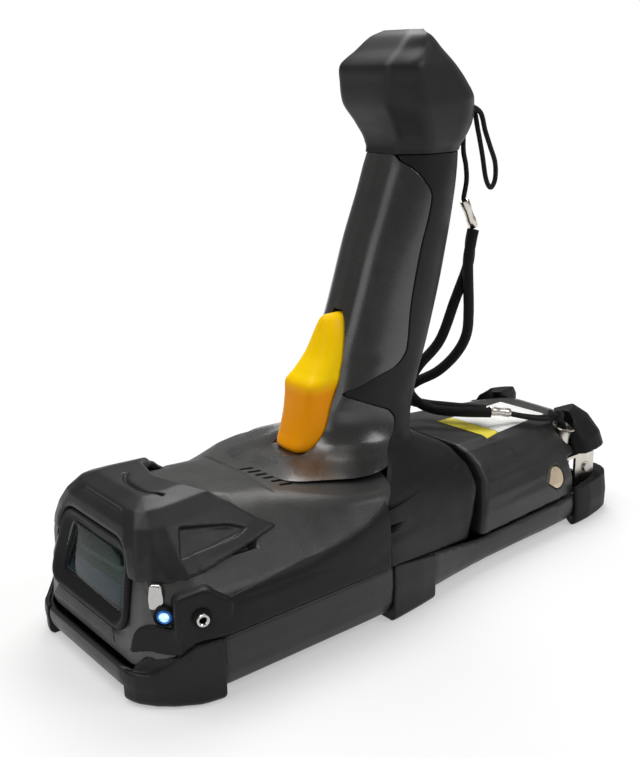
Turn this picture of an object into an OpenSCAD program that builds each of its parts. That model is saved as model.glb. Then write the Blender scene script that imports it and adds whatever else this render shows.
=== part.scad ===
// Portable barcode data terminal with a pistol grip, lying on its display side.
// X runs across it, Y from the scan window to the tail, Z up through the grip.
// The moulded forms are lofts: plan outlines at rising heights, joined into one skin.

/* [Body] */
// Length from the nose to the tail bumpers
body_len = 231; // [228:0.5:235]
// Width of the head over its corner feet
head_w = 91; // [89:0.5:94]
// Length of the full-width head
head_len = 96; // [94:0.5:99]
// Length of the waist, from the head to the battery
waist_len = 46; // [44:0.5:48]
// Width of the tail where the battery meets the housing
tail_w = 73; // [71:0.5:75]
// Height of the housing seam along the head
seam_z = 21; // [20:0.25:22]
// Height of the housing seam under the battery
tail_seam_z = 13; // [12.5:0.25:14]
// Height of the deck in front of the grip
deck_z = 50; // [49:0.25:51.5]
// Height of the feet below the display side
foot_h = 2; // [1.5:0.1:2.5]
// Wall of the moulded housings
wall = 2.4; // [2:0.1:2.8]
// Thickness of the rubber skins
skin = 1.6; // [1.3:0.1:1.9]
// How far the feet stand out of the housing
foot_proud = 0.5; // [0.3:0.1:0.8]

/* [Grip] */
// Height over the butt of the grip
total_h = 193; // [189:0.5:197]
// Width of the grip
grip_w = 32; // [30:0.5:34]
// Depth of the grip at half height, front to back
grip_d = 39; // [37:0.5:41]
// Lean of the grip towards the tail
grip_lean = 16.5; // [15:0.25:18]
// Height of the butt cap
butt_h = 41; // [39:0.5:43]
// Width of the butt cap
butt_w = 40; // [38:0.5:42]

/* [Trigger] */
// Height of the trigger
trigger_h = 47; // [45:0.5:48]
// Width of the trigger
trigger_w = 18; // [16.5:0.5:19]
// Swing of the trigger
trigger_swing = 7; // [5:0.5:8]
// Diameter of the trigger pin
pin_d = 3; // [2.5:0.1:3.4]

/* [Scan window] */
// Width of the glass at its lower edge
glass_w = 41; // [38:0.5:42]
// Height of the glass along its slope
glass_h = 18; // [16.5:0.25:18.5]
// Thickness of the glass
glass_t = 1.5; // [1:0.1:1.8]
// Backward lean of the nose face
nose_lean = 13; // [11:0.5:15]
// Height of the middle of the glass
glass_z = 34; // [33:0.25:34.5]

/* [Nose] */
// Bore of the headset jack
jack_bore = 2.5; // [2.2:0.1:3.5]
// Outer diameter of the jack's collar
jack_d = 5.2; // [4.8:0.1:6]
// Diameter of the indicator lens
lens_d = 6; // [5:0.25:6.5]

/* [Battery] */
// Height of the battery's top over the surface
battery_top = 45; // [44:0.25:46]
// Gap between the battery and the saddle
channel = 1.6; // [1.2:0.1:2]
// Rise of the battery when its latches let go
battery_pop = 1.5; // [1:0.25:1.75]
// Diameter of a battery cell
cell_d = 18.4; // [17:0.1:18.6]
// Room behind the battery cells
cell_gap = 2.5; // [2.2:0.1:4]
// Inward travel of a release button
button_travel = 1.5; // [1:0.1:1.8]
// Bore of the strap eyes in the battery's ears
eye_d = 9; // [8.4:0.1:9.6]

/* [Display and keys] */
// Width of the touch window
window_w = 62; // [58:0.5:64]
// Length of the touch window
window_l = 78; // [74:0.5:80]
// Thickness of the touch window
window_t = 1.4; // [1:0.1:1.8]
// Side of a key
key_w = 9.4; // [8.6:0.1:10]
// Distance from key to key across
key_pitch_x = 13; // [12.4:0.1:13.4]
// Distance from key to key along
key_pitch_y = 12.6; // [12:0.1:13]
// Travel of a key
key_travel = 0.6; // [0.4:0.1:0.8]
// Height of a key over the keypad frame
key_proud = 1.2; // [1:0.1:1.4]

/* [Lanyard] */
// Diameter of one strand of the wrist cord
wrist_d = 4; // [3.6:0.1:4.2]
// Diameter of the thin cords
thin_d = 1.8; // [1.4:0.1:2]

/* [Fits] */
// Clearance round a piece that moves
play = 0.4; // [0.3:0.05:0.5]
// Clearance between fixed mouldings
fit = 0.1; // [0.05:0.05:0.15]
// Radial running clearance of a pin
pin_fit = 0.05; // [0.02:0.01:0.08]

/* [Hidden] */
round_steps = 2;

nose_y = -body_len / 2;
tail_y = body_len / 2;
head_x = head_w / 2 - foot_proud;
nose_x = head_x - 15;
corner_l = 16.5;
head_end = nose_y + head_len;
waist_end = head_end + waist_len;
tail_x = tail_w / 2;
tail_end = tail_y - 6;
tail_taper = tail_y - 27;
nose_seam_z = 11;
base_z = foot_h;
cut_y = head_end - 4.5;
neck_z = total_h - butt_h;

// --- Curves and lofts ---

// Point on the way from a to b, not past the middle
function toward(a, b, d) = a + (b - a) * min(d / norm(b - a), 0.48);
// Open chain p with its inner corners rounded by the radii r
function chain(p, r) = [
    p[0],
    for (i = [1 : len(p) - 2])
        let(a = toward(p[i], p[i - 1], r[i - 1]), b = toward(p[i], p[i + 1], r[i - 1]))
            for (k = [0 : round_steps])
                let(t = k / round_steps) a * (1 - t) * (1 - t) + p[i] * 2 * t * (1 - t) + b * t * t,
    p[len(p) - 1]
];
// Distance along chain h at each of its points
function runs(h) = [
    for (i = 0, s = 0; i < len(h); s = i < len(h) - 1 ? s + norm(h[i + 1] - h[i]) : s, i = i + 1) s
];
// Distance along half outline h where its side reaches y
function run_at(h, y) = let(r = runs(h)) lookup(y, [for (i = [1 : len(h) - 2]) [h[i].y, r[i]]]);
// n + 1 points of chain h from distance a to distance b
function span(h, a, b, n) =
    let(
        r = runs(h),
        tx = [for (i = [0 : len(h) - 1]) [r[i], h[i].x]],
        ty = [for (i = [0 : len(h) - 1]) [r[i], h[i].y]]
    )
    [for (k = [0 : n]) let(s = a + (b - a) * k / n) [lookup(s, tx), lookup(s, ty)]];
function flipped(p) = [for (q = p) [-q.x, q.y]];
function reversed(p) = [for (i = [len(p) - 1 : -1 : 0]) p[i]];
function inner(p) = [for (i = [1 : len(p) - 2]) p[i]];
function last(p) = p[len(p) - 1];

// Slant of a skin's edge, and the clearance under the skin
skin_lip = 0.3;
skin_gap = 2 * fit;
// Closed outline from half outline h, which runs from the front centre to the rear centre
function whole(h) = concat(inner(h), flipped(reversed(inner(h))));
// Outline of a skin round the rear, between half outlines a and b, from y on each side
function cee(a, b, y, n) =
    let(
        o = span(a, run_at(a, y), last(runs(a)), n),
        i = span(b, run_at(b, y + skin_lip), last(runs(b)), n),
        o_left = flipped(reversed(o)),
        i_left = flipped(i)
    )
    concat(o, [for (k = [1 : n]) o_left[k]], i_left, [for (k = [n - 1 : -1 : 0]) i[k]]);
// Outline of the core under that skin: on a in front of y, on b behind it
function cored(a, b, y, m, n) =
    whole(concat(span(a, 0, run_at(a, y - skin_gap), m), span(b, run_at(b, y + skin_lip), last(runs(b)), n)));
// Outline of a strip on the right side, between half outlines a and b
function strip(a, b, a0, a1, b0, b1, n) = concat(span(a, a0, a1, n), reversed(span(b, b0, b1, n)));

// Closed outline through p, which ends where it starts
function loop(p, r) = let(c = chain(p, r)) [for (i = [0 : len(c) - 2]) c[i]];

// Raises outline p to height z
function raised(p, z) = [for (q = p) [q.x, q.y, z]];

// Skin through rings of 3D points, closed at both ends by rungs between points i and n - 1 - i
module loft(rings) {
    n = len(rings[0]);
    m = len(rings);
    rungs = [
        for (i = [0 : ceil(n / 2) - 2])
            let(a = i, b = i + 1, c = n - 2 - i, d = n - 1 - i)
                each [if (b != c) [a, b, c], [a, c, d]]
    ];
    polyhedron(
        points = [for (r = rings) each r],
        faces = concat(
            rungs,
            [
                for (j = [0 : m - 2], i = [0 : n - 1])
                    let(a = j * n + i, b = j * n + (i + 1) % n)
                        each rings[j][i].y < rings[j][(i + 1) % n].y
                            ? [[a, b + n, b], [a, a + n, b + n]] : [[a, a + n, b], [b, a + n, b + n]]
            ],
            [for (t = rungs) [for (k = [2 : -1 : 0]) (m - 1) * n + t[k]]]
        ),
        convexity = 8
    );
}

// --- Outlines of the body ---

// Places along the body where the seam turns, and its height at y
seam_kinks = [nose_y + 5, nose_y + corner_l, nose_y + corner_l + 3, head_end, waist_end];
function seam_at(y) = lookup(y, [
    for (i = [0 : 4]) [seam_kinks[i], [nose_seam_z, seam_z - 0.4, seam_z, seam_z, tail_seam_z][i]]
]);

// Everything under the seam, raised by g, and everything over it
module under_seam(g = 0) seam_side(g, -20);
module over_seam(g = 0) seam_side(g, 60);
module seam_side(g, far)
    rotate([90, 0, 90]) translate([0, 0, -60]) linear_extrude(120)
        polygon(concat(
            [[nose_y - 20, far]],
            [for (y = concat([nose_y - 20], seam_kinks, [tail_y + 20])) [y, seam_at(y) + g]],
            [[tail_y + 20, far]]
        ));

// Half outline of the face housing, inset by d
function body_half(d) = chain(
    [
        [0, nose_y + d],
        [nose_x - 0.4 * d, nose_y + d],
        [head_x - d, nose_y + corner_l + 0.4 * d],
        [head_x - d, head_end],
        [tail_x + 2 - d, waist_end],
        [tail_x - d, tail_taper],
        [tail_x - 7 - 0.5 * d, tail_end - d],
        [0, tail_end - d]
    ],
    [7, 9, 12, 14, 14, 6]
);

// Ring of the face housing at fraction v of its height, inset by d
function body_ring(v, d, low = base_z, over = 0) = [
    for (q = whole(body_half(d))) [q.x, q.y, low + v * (seam_at(q.y) + over - low)]
];

// --- Housings ---

// Inset of the face housing's side at fraction v of its height
function side_inset(v) = lookup(v, [[0, 4.5], [0.1, 2], [0.3, 0.6], [0.6, 0], [1, 0.3]]);
body_levels = [0, 0.1, 0.3, 0.6, 1];

module body_solid(d = 0, low = base_z, over = 0)
    loft([for (v = body_levels) body_ring(v, side_inset(v) + d, low, over)]);

// Ring of a foot on the right side: outer inset a, inner inset b, from run s0 to run s1
function foot_ring(v, a, b, s0, s1, over) = [
    for (q = strip(body_half(a), body_half(b), s0(body_half(a)), s1(body_half(a)),
        s0(body_half(b)), s1(body_half(b)), 12))
        [q.x, q.y, v < 0 ? base_z * (1 + v) - (v == -1 ? over : 0) : base_z + v * (seam_at(q.y) + over - base_z)]
];
foot_pad = 8;
foot_sunk = 1.1;
// Foot that wraps the housing between runs s0 and s1, grown by g
module foot(s0, s1, g = 0) difference() {
    foot_loft(s0, s1, g);
    over_seam(g > 0 ? 2 : -fit);
}
module foot_loft(s0, s1, g)
    loft([
        for (r = [[-1, 1.2, foot_pad], [-0.5, 0.2, foot_pad], [-0.05, -0.2, foot_pad]])
            foot_ring(r[0], r[1] - 4 * g, r[2] + g, s0, s1, g > 0 ? 1 : 0),
        for (v = [0.02, 0.1, 0.3, 0.6, 1.02])
            foot_ring(v, min(side_inset(v), 0.3) - foot_proud - 4 * g,
                side_inset(v) + foot_sunk + g, s0, s1, g > 0 ? 1 : 0)
    ]);
module front_foot(g = 0)
    foot(function(h) nose_x - 5 - g, function(h) run_at(h, nose_y + 24.5 + g), g);
module mid_foot(g = 0)
    foot(function(h) run_at(h, head_end - 3 - g), function(h) run_at(h, head_end + 19 + g), g);

// Corner block of the tail, grown by g
module tail_block(g = 0)
    loft([
        for (r = [[0 - 2 * g, 1.6], [1.6, 0.2], [8, 0], [tail_seam_z + 3.4, 0.9]])
            raised(loop([
                [17, tail_end - 12],
                [tail_x + 0.7 - r[1] + g, tail_taper - 4 - g],
                [tail_x + 0.7 - r[1] + g, tail_taper + 6],
                [tail_x - 2.5 - r[1] + g, tail_y - 5.5],
                [tail_x - 8 - r[1], tail_y - r[1] + g],
                [21 - g, tail_y - r[1] + g],
                [18 - g, tail_end - 1],
                [17, tail_end - 12]
            ], [2, 6, 5, 4, 3, 2]), r[0])
    ]);
bumper_sunk = 1.2;
module tail_bumper() difference() {
    tail_block();
    slab([16, post_y[0] - 1, tail_seam_z], [post_x + bracket_t + 4 * fit, post_y[1] + 3 * fit, post_z]);
    body_solid(bumper_sunk - fit);
    translate([0, 0, tail_seam_z - 1]) linear_extrude(9) polygon(whole(body_half(bumper_sunk - fit)));
}
module tail_bumper_right() color("#1a1a1c") tail_bumper();
module tail_bumper_left() color("#1a1a1c") mirror([1, 0, 0]) tail_bumper();

// Middle of the touch window and of the first row of keys
window_y = nose_y + 18 + window_l / 2;
row_y = window_y + window_l / 2 + 14.5;
key_cols = 3;
key_rows = 4;
pad_x = key_pitch_x * (key_cols - 1) / 2 + key_w / 2 + 4;
pad_y0 = row_y - key_w / 2 - 4;
pad_y1 = row_y + key_pitch_y * (key_rows - 1) + key_w / 2 + 4;
// Slab between corners a and b
module slab(a, b) translate(a) cube(b - a);
// Slab centred across at y, of half width x and half length l
module plate(x, y, l, z0, z1) slab([-x, y - l, z0], [x, y + l, z1]);

floor_z = base_z + wall;
board_z = 12;
screw_d = 2.5;
boss_r = 3.8;
head_screw = [head_x - 7.2, nose_y + 27.5];
waist_screw = [30, waist_end - 14.5];
board_posts = [[20, nose_y + 14], [28, window_y + window_l / 2 + 4.5]];
module both() {
    children();
    mirror([1, 0, 0]) children();
}
// Foot and bumper pockets in the side of the face housing
module side_pockets() {
    front_foot(fit);
    mid_foot(fit);
    difference() {
        tail_block(fit);
        body_solid(bumper_sunk);
    }
}
module screw_holes(r) both() for (s = [head_screw, waist_screw])
    translate([s.x, s.y, floor_z - 1]) cylinder(h = 40, r = r, $fn = 24);

module face_housing() color("#3b3b3e") difference() {
    union() {
        difference() {
            body_solid(0, base_z, 0.6);
            body_solid(wall, floor_z, 1.5);
            over_seam();
        }
        both() {
            for (s = board_posts)
                translate([s.x, s.y, floor_z - 1]) cylinder(h = board_z - floor_z + 1, r = 2.2, $fn = 24);
            translate([head_screw.x, head_screw.y, floor_z - 1]) cylinder(h = 14, r = boss_r, $fn = 32);
            translate([waist_screw.x, waist_screw.y, floor_z - 1])
                cylinder(h = seam_at(waist_screw.y) - floor_z + 0.2, r = boss_r, $fn = 32);
        }
    }
    both() side_pockets();
    // Touch window, and the ledge over it
    plate(window_w / 2 + fit, window_y, window_l / 2 + fit, base_z - 1, base_z + 0.4 + window_t);
    plate(window_w / 2 - 3, window_y, window_l / 2 - 3, base_z, floor_z + 1);
    // Keypad
    slab([-pad_x - fit, pad_y0 - fit, base_z - 1], [pad_x + fit, pad_y1 + fit, floor_z + 1]);
    // Screws
    screw_holes(screw_d / 2 + 0.2);
    both() for (s = [head_screw, waist_screw])
        translate([s.x, s.y, base_z - 1]) cylinder(h = wall + 0.6, r = screw_d + 0.3, $fn = 32);
}
module housing_screws() color("#8a8a8c") both() for (s = [head_screw, waist_screw]) translate([s.x, s.y, 0]) {
    translate([0, 0, base_z + 0.2]) cylinder(h = wall - 0.7, r = screw_d, $fn = 32);
    translate([0, 0, base_z + 0.5]) cylinder(h = 20, r = screw_d / 2, $fn = 24);
}

module front_foot_right() color("#2a2a2c") front_foot();
module front_foot_left() color("#2a2a2c") mirror([1, 0, 0]) front_foot();
module mid_foot_right() color("#2a2a2c") mid_foot();
module mid_foot_left() color("#2a2a2c") mirror([1, 0, 0]) mid_foot();

// --- Head ---

// Slope of the head's top towards the nose
nose_rise = 0.1;
ridge_y = nose_y + 61.5;
shoulder_z = 33;
face_step = 3.5;
// Y of the nose face at height z
function nose_face(z) = nose_y + face_step + (z - seam_z) * tan(nose_lean);
ridge_x = 20.5;
// Height, half width of the nose face, half width of the side, half width at the saddle
head_keys = [
    [seam_z, nose_x, head_x, head_x],
    [27, nose_x, head_x - 0.2, head_x - 0.2],
    [31.5, nose_x - 1, head_x - 0.7, head_x - 0.8],
    [shoulder_z, nose_x - 1.5, head_x - 1.8, head_x - 1.3],
    [34.5, nose_x - 2, head_x - 3.8, head_x - 1.8],
    [42, 25, 31.3, head_x - 3],
    [47.5, 21, 23.9, head_x - 4],
    [deck_z, 17, ridge_x, head_x - 6.5]
];
// Half outline of the head at height z, inset by d
function head_half(z, d = 0) =
    let(xf = lookup(z, [for (k = head_keys) [k[0], k[1]]]) - 0.4 * d,
        xs = lookup(z, [for (k = head_keys) [k[0], k[2]]]) - d,
        xb = lookup(z, [for (k = head_keys) [k[0], k[3]]]) - d,
        yf = nose_face(z + head_rise(nose_face(z), z)) + d)
    chain([[0, yf], [xf, yf], [xs, yf + 14.5], [xs, ridge_y + 2], [xb, cut_y], [0, cut_y]], [6, 9, 6, 0.1]);
// Rise of the head's top at y, for height z
function head_rise(y, z) = max(0, ridge_y - y) * nose_rise * max(0, z - shoulder_z) / (deck_z - shoulder_z);
function head_ring(z, d = 0) = [
    for (q = whole(head_half(z, d)))
        [q.x, q.y, z == seam_z ? seam_at(q.y) - 1 : z + head_rise(q.y, z)]
];
module head_solid(d = 0)
    loft([for (k = head_keys) head_ring(k[0], d)]);

// --- Waist and grip ---

// Height, half width at the head, at the waist and at the rear, Y of the rear
waist_keys = [
    [seam_z, head_x, 38.2, 35.8, waist_end - 1],
    [26, head_x, 37.6, 35.2, waist_end + 3],
    [32, head_x - 0.8, 36.6, 33.4, waist_end + 5.5],
    [38, head_x - 2, 34.5, 29.5, waist_end + 5],
    [43, head_x - 3.5, 31.5, 24.5, waist_end + 2.7],
    [47, head_x - 6, 28.5, 20, waist_end + 1.3]
];
// Bulge of the flat fronts and backs at the centre
crown = 0.8;
function waist_half(z, d = 0) =
    let(c = function(i) lookup(z, [for (k = waist_keys) [k[0], k[i]]]))
    chain([
        [0, cut_y - 1 - crown],
        [c(1) - d, cut_y - 1],
        [c(1) - d, head_end],
        [c(2) - d, waist_end - 13],
        [c(3) - 0.6 * d, c(4) - d],
        [0, c(4) - d + crown]
    ], [0.1, 10, 12, 6]);

// Y of the grip's axis at height z
function lean_y(z) = 6.5 + (z - deck_z) * tan(grip_lean);
half_w = grip_w / 2;
// Share of the grip's height, then distances from its axis: front, rear; half widths: front edge,
// side, rear side, rear edge; run of the front and rear corners; Y where the rubber starts
grip_keys = [
    [0, 57, 9, 18.5, 34, 24, 13, 26, 12, -14],
    [0.025, 42, 9.2, 14, 27, 21.5, 12, 18, 11.5, -11],
    [0.06, 35.5, 9.3, 11, 21.5, 19.5, 11, 15, 11, -6],
    [0.11, 33.5, 9, 9.5, 18.8, 18, 10, 12, 10, -1],
    [0.17, 32.8, 8.8, 11, 17.4, 17.2, 10, 9, 10, -7],
    [0.22, 31.8, 9, 12.8, 16.8, 16.8, 10, 7.5, 10, -16.5],
    [0.255, 31.4, 9.3, 12, 16.6, 16.6, 10, 8.5, 10, -7],
    [0.29, 30.8, 9.6, 10.5, 16.4, 16.4, 10, 10, 10, 3],
    [0.35, 30.2, 10, 9, 16.3, 16.3, 10, 11, 10, 8],
    [0.5, 28.8, 10.2, 9, 16, 16, 10, 11, 10, 12],
    [0.7, 27.8, 9.3, 9, 16, 16, 10, 11, 10, 17],
    [0.86, 26, 7.8, 9, 15.8, 15.8, 10, 11, 10, 20],
    [0.95, 25.2, 6.4, 9, 15.4, 15.4, 9.5, 10, 9, 16],
    [1, 24.8, 5.6, 8.5, 15, 15, 9, 9.5, 9, 14]
];
function grip_z(k) = deck_z + k * (neck_z - deck_z);
function grip_half(k, d = 0) =
    let(c = function(i) lookup(k, [for (r = grip_keys) [r[0], r[i]]]),
        y = lean_y(grip_z(k)), dd = grip_d / 39, ww = grip_w / 32)
    chain([
        [0, y - c(1) * dd + d - crown],
        [c(3) * ww, y - c(1) * dd + d],
        [c(4) * ww - d, y - c(1) * dd + c(7)],
        [c(5) * ww - d, y + c(2) * dd - c(8)],
        [c(6) * ww, y + c(2) * dd - d],
        [0, y + c(2) * dd - d + crown]
    ], [6, 9, 9, 8]);
function rubber_y(k) = lookup(k, [for (r = grip_keys) [r[0], r[9]]]);
cee_steps = 11;
core_steps = 7;

// Rings of the rubber from the seam to the neck, g grown
function overmould_rings(g = 0) = [
    for (w = waist_keys)
        [for (q = cee(waist_half(w[0], -g * 8), waist_half(w[0], skin + g), cut_y + fit - 2 * g, cee_steps))
            [q.x, q.y, w[0] == seam_z ? seam_at(q.y) - 1 : w[0]]],
    for (r = grip_keys)
        raised(cee(grip_half(r[0], -g * 8), grip_half(r[0], skin + g), rubber_y(r[0]) - g, cee_steps),
            grip_z(r[0]) + (r[0] == 1 ? -fit + 2 * g : 0))
];
module overmould(g = 0) loft(overmould_rings(g));

module grip_overmould() color("#1c1c1e") difference() {
    overmould();
    under_seam(fit);
}

module grip_core() color("#38383a") difference() {
    loft([
        for (r = grip_keys)
            raised(cored(grip_half(r[0]), grip_half(r[0], skin + skin_gap), rubber_y(r[0]), core_steps, cee_steps),
                grip_z(r[0]) + (r[0] == 0 ? fit : 0))
    ]);
    trigger_pocket();
    vents();
    translate(pivot) rotate([0, 90, 0]) cylinder(h = pin_l + 2 * fit, r = pin_d / 2 + pin_fit, center = true, $fn = 48);
    translate(switch_at) slab([-6.3 - fit, -4, -3 - fit], [6.3 + fit, 6 + fit, 3 + fit]);
}

// Solid under the saddle
module waist_core() difference() {
    loft([
        for (w = waist_keys)
            [for (q = cored(waist_half(w[0]), waist_half(w[0], skin + skin_gap), cut_y, core_steps, cee_steps))
                [q.x, q.y, w[0] == seam_z ? seam_at(q.y) - 1 : w[0]]],
        raised(cored(
            concat([[0, cut_y - 1 - crown], [26, cut_y - 1]], [for (q = grip_half(0)) if (q.y > rubber_y(0) - 4) q]),
            grip_half(0, skin + skin_gap), rubber_y(0), core_steps, cee_steps), deck_z)
    ]);
    under_seam(fit);
    slab([-24, cut_y - 5, 5], [24, waist_end - 8, deck_z - 6]);
}
// Floor of the battery well, with the posts that carry the strap brackets
post_x = 28.2;
post_y = [tail_taper - 0.5, tail_taper + 17];
post_z = 25.5;
well_z = tail_seam_z - 2;
module battery_well() {
    difference() {
        translate([0, 0, well_z]) linear_extrude(2) intersection() {
            polygon(whole(body_half(wall + 0.5)));
            translate([-50, waist_end - 9]) square([100, 110]);
        }
        slab([-13, waist_end + 10, well_z - 1], [13, waist_end + 18, tail_seam_z + 1]);
    }
    slab([-30, waist_end - 8, well_z], [30, waist_end - 4, seam_z + 3]);
    both() difference() {
        slab([17, post_y[0], well_z + 2], [post_x, post_y[1], post_z]);
        bracket_bore();
    }
}
module bracket_bore() translate([post_x - 6, post_y[0] + 12.5, 20]) rotate([0, 90, 0]) cylinder(h = 10, r = 1.1, $fn = 24);
vent_n = 6;
module vents() for (i = [0 : vent_n - 1])
    translate([3.6 * i, ridge_y + 1 + 0.7 * i, deck_z - 5]) rotate([0, 0, -12])
        linear_extrude(8) {
            translate([-0.8, 0]) square([1.6, 4.4]);
            circle(d = 1.6, $fn = 16);
            translate([0, 4.4]) circle(d = 1.6, $fn = 16);
        }

// Sets its children on the nose face: x across, y up the slope, z outward
module on_nose() translate([0, nose_face(glass_z), glass_z]) rotate([90 - nose_lean, 0, 0]) children();
// Outline of the window, grown by g
module window_outline(g = 0) offset(2 + g, $fn = 24) polygon([
    [-glass_w / 2 + 2, -glass_h / 2 + 2], [glass_w / 2 - 2, -glass_h / 2 + 2],
    [glass_w / 2 - 6, glass_h / 2 - 2], [-glass_w / 2 + 6, glass_h / 2 - 2]
]);
// Places on the corner between the nose and the side
corner_yaw = 46;
lens_at = [head_x - 8.8, nose_y + 11.1, 29.5];
guide_at = [head_x - 13.6, nose_y + 10.1, 35.1];
jack_at = [head_x - 1, nose_y + 17.8, 28.7];
jack_yaw = 72;
module on_corner(p, yaw) translate(p) rotate([90, 0, yaw]) children();
board_over = 31;
module back_housing() color("#48484a") difference() {
    union() {
        difference() {
            head_solid();
            translate([0, 0, -wall]) head_solid(wall);
            under_seam(fit);
        }
        waist_core();
        battery_well();
        both() {
            translate([head_screw.x, head_screw.y, 17.9]) cylinder(h = 13, r = boss_r, $fn = 32);
            for (y = [nose_y + 17, nose_y + 33])
                translate([15.5, y, board_over + 1.6])
                    cylinder(h = deck_z + head_rise(y, deck_z) - board_over - 2.8, r = 2, $fn = 24);
        }
    }
    both() band(fit);
    screw_holes(screw_d / 2);
    on_nose() translate([0, 0, -glass_t - fit]) linear_extrude(6) window_outline(fit);
    on_nose() translate([0, 0, -8]) linear_extrude(12) window_outline(-1.2);
    vents();
    corner_holes();
}
module corner_holes() {
    on_corner(lens_at, corner_yaw) translate([0, 0, -6]) cylinder(h = 12, d = lens_d + 2 * fit, $fn = 32);
    on_corner(guide_at, corner_yaw) translate([-1.8 - fit, -3.1 - fit, -6]) cube([3.6 + 2 * fit, 6.2 + 2 * fit, 12]);
    on_corner(jack_at, jack_yaw) translate([0, 0, -12]) cylinder(h = 20, d = jack_d + 2 * fit, $fn = 32);
}
module indicator_lens() color("#dfeaf2") on_corner(lens_at, corner_yaw) {
    translate([0, 0, -4]) cylinder(h = 4.6, d = lens_d, $fn = 32);
}
module light_guide() color("#c9ccd0") on_corner(guide_at, corner_yaw)
    translate([-1.8, -3.1, -4]) cube([3.6, 6.2, 4.5]);
module headset_jack() color("#c8c8ca") on_corner(jack_at, jack_yaw) difference() {
    translate([0, 0, -10]) cylinder(h = 10.4, d = jack_d, $fn = 32);
    translate([0, 0, -9]) cylinder(h = 12, d = jack_bore, $fn = 32);
}

// --- Inside ---
module scan_board() color("#2f6b3c") plate(18, nose_y + 24, 12, board_over, board_over + 1.6 - fit);
module scan_engine() color("#23282b") difference() {
    union() {
        plate(12, nose_y + 27, 9, board_over + 1.6, 43.5);
        for (x = [-6, 6]) translate([x, nose_y + 16.5, 38]) rotate([-90, 0, 0]) cylinder(h = 3, d = 6.4, $fn = 32);
    }
    for (x = [-6, 6]) translate([x, nose_y + 16, 38]) rotate([-90, 0, 0]) cylinder(h = 5, d = 4.4, $fn = 32);
}
module main_board() color("#2f6b3c") slab([-31, nose_y + 11.5, board_z], [31, window_y + window_l / 2 + 8, board_z + 1.6]);
module touch_window() color("#15181b")
    plate(window_w / 2, window_y, window_l / 2, base_z + 0.4, base_z + 0.4 + window_t - fit);
module display_module() color("#9a9ea2") plate(window_w / 2 - 1, window_y, window_l / 2 - 1, floor_z + fit, floor_z + 4);
board_gap = floor_z + 2.5;
module keypad_frame() color("#2c2c2f") difference() {
    union() {
        slab([-pad_x, pad_y0, base_z + 0.1], [pad_x, pad_y1, floor_z + 0.2]);
        slab([-pad_x - 2, pad_y0 - 2, floor_z + fit], [pad_x + 2, pad_y1 + 2, board_gap]);
    }
    slab([-pad_x + 1, pad_y0 + 1, floor_z], [pad_x - 1, pad_y1 - 1, board_gap + 1]);
    for (c = [0 : key_cols - 1], r = [0 : key_rows - 1]) key_outline(c, r, play, base_z - 1, floor_z + 1);
}
module key_outline(c, r, g, z0, z1)
    translate([(c - (key_cols - 1) / 2) * key_pitch_x, row_y + r * key_pitch_y, z0])
        linear_extrude(z1 - z0) polygon(let(a = key_w / 2 + g, b = key_w / 2 - 1.4 + 0.42 * g)
            [[b, -a], [a, -b], [a, b], [b, a], [-b, a], [-a, b], [-a, -b], [-b, -a]]);
module key(c, r) color("#d9d9d6") {
    key_outline(c, r, 0, base_z + 0.1 - key_proud, floor_z + play);
    key_outline(c, r, 0.8, floor_z + play, floor_z + play + 0.8);
}
module keypad_board() color("#2f6b3c") slab([-pad_x - 1, pad_y0 - 1, board_gap + fit], [pad_x + 1, pad_y1 + 1, board_gap + 1.6]);
module key_r1c1() key(0, 0);
module key_r1c2() key(1, 0);
module key_r1c3() key(2, 0);
module key_r2c1() key(0, 1);
module key_r2c2() key(1, 1);
module key_r2c3() key(2, 1);
module key_r3c1() key(0, 2);
module key_r3c2() key(1, 2);
module key_r3c3() key(2, 2);
module key_r4c1() key(0, 3);
module key_r4c2() key(1, 3);
module key_r4c3() key(2, 3);
module battery_contacts() color("#b9a25a") {
    slab([-12.8, waist_end + 10.2, well_z - 1], [12.8, waist_end + 17.8, tail_seam_z + 0.2]);
    slab([-14.5, waist_end + 9, well_z - 1], [14.5, waist_end + 19, well_z - 0.05]);
}

// --- Trigger ---
trigger_z = 51.5;
pivot = [0, -20, trigger_z + 5.5];
// Share of the trigger's height, Y of its front, half width of the front and of the body
trigger_keys = [
    [0, -31, 4.5, 6.5],
    [0.05, -33, 6, 8.4],
    [0.14, -31.5, 6.5, 9],
    [0.28, -29.6, 6.5, 9],
    [0.42, -28.4, 6.8, 9],
    [0.51, -27.8, 7, 9],
    [0.6, -24.6, 5.5, 8.3],
    [0.72, -20.4, 4.5, 7.2],
    [0.86, -17.5, 3.5, 5.6],
    [0.96, -15.8, 2, 3.6],
    [1, -14.4, 1, 2]
];
// Y of the trigger's back at height z
function trigger_back(z) = min(lean_y(z) - 18, -16 + (z - trigger_z) * 1.2);
function trigger_swept(z) = max(0, z - pivot.z) * tan(trigger_swing);
function trigger_ring(r) =
    let(z = trigger_z + r[0] * trigger_h, w = r[3] * trigger_w / 18)
    raised(whole(chain([[0, r[1]], [r[2], r[1]], [w, r[1] + 3.5], [w, trigger_back(z)], [0, trigger_back(z)]],
        [2, 3, 1])), z);
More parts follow.
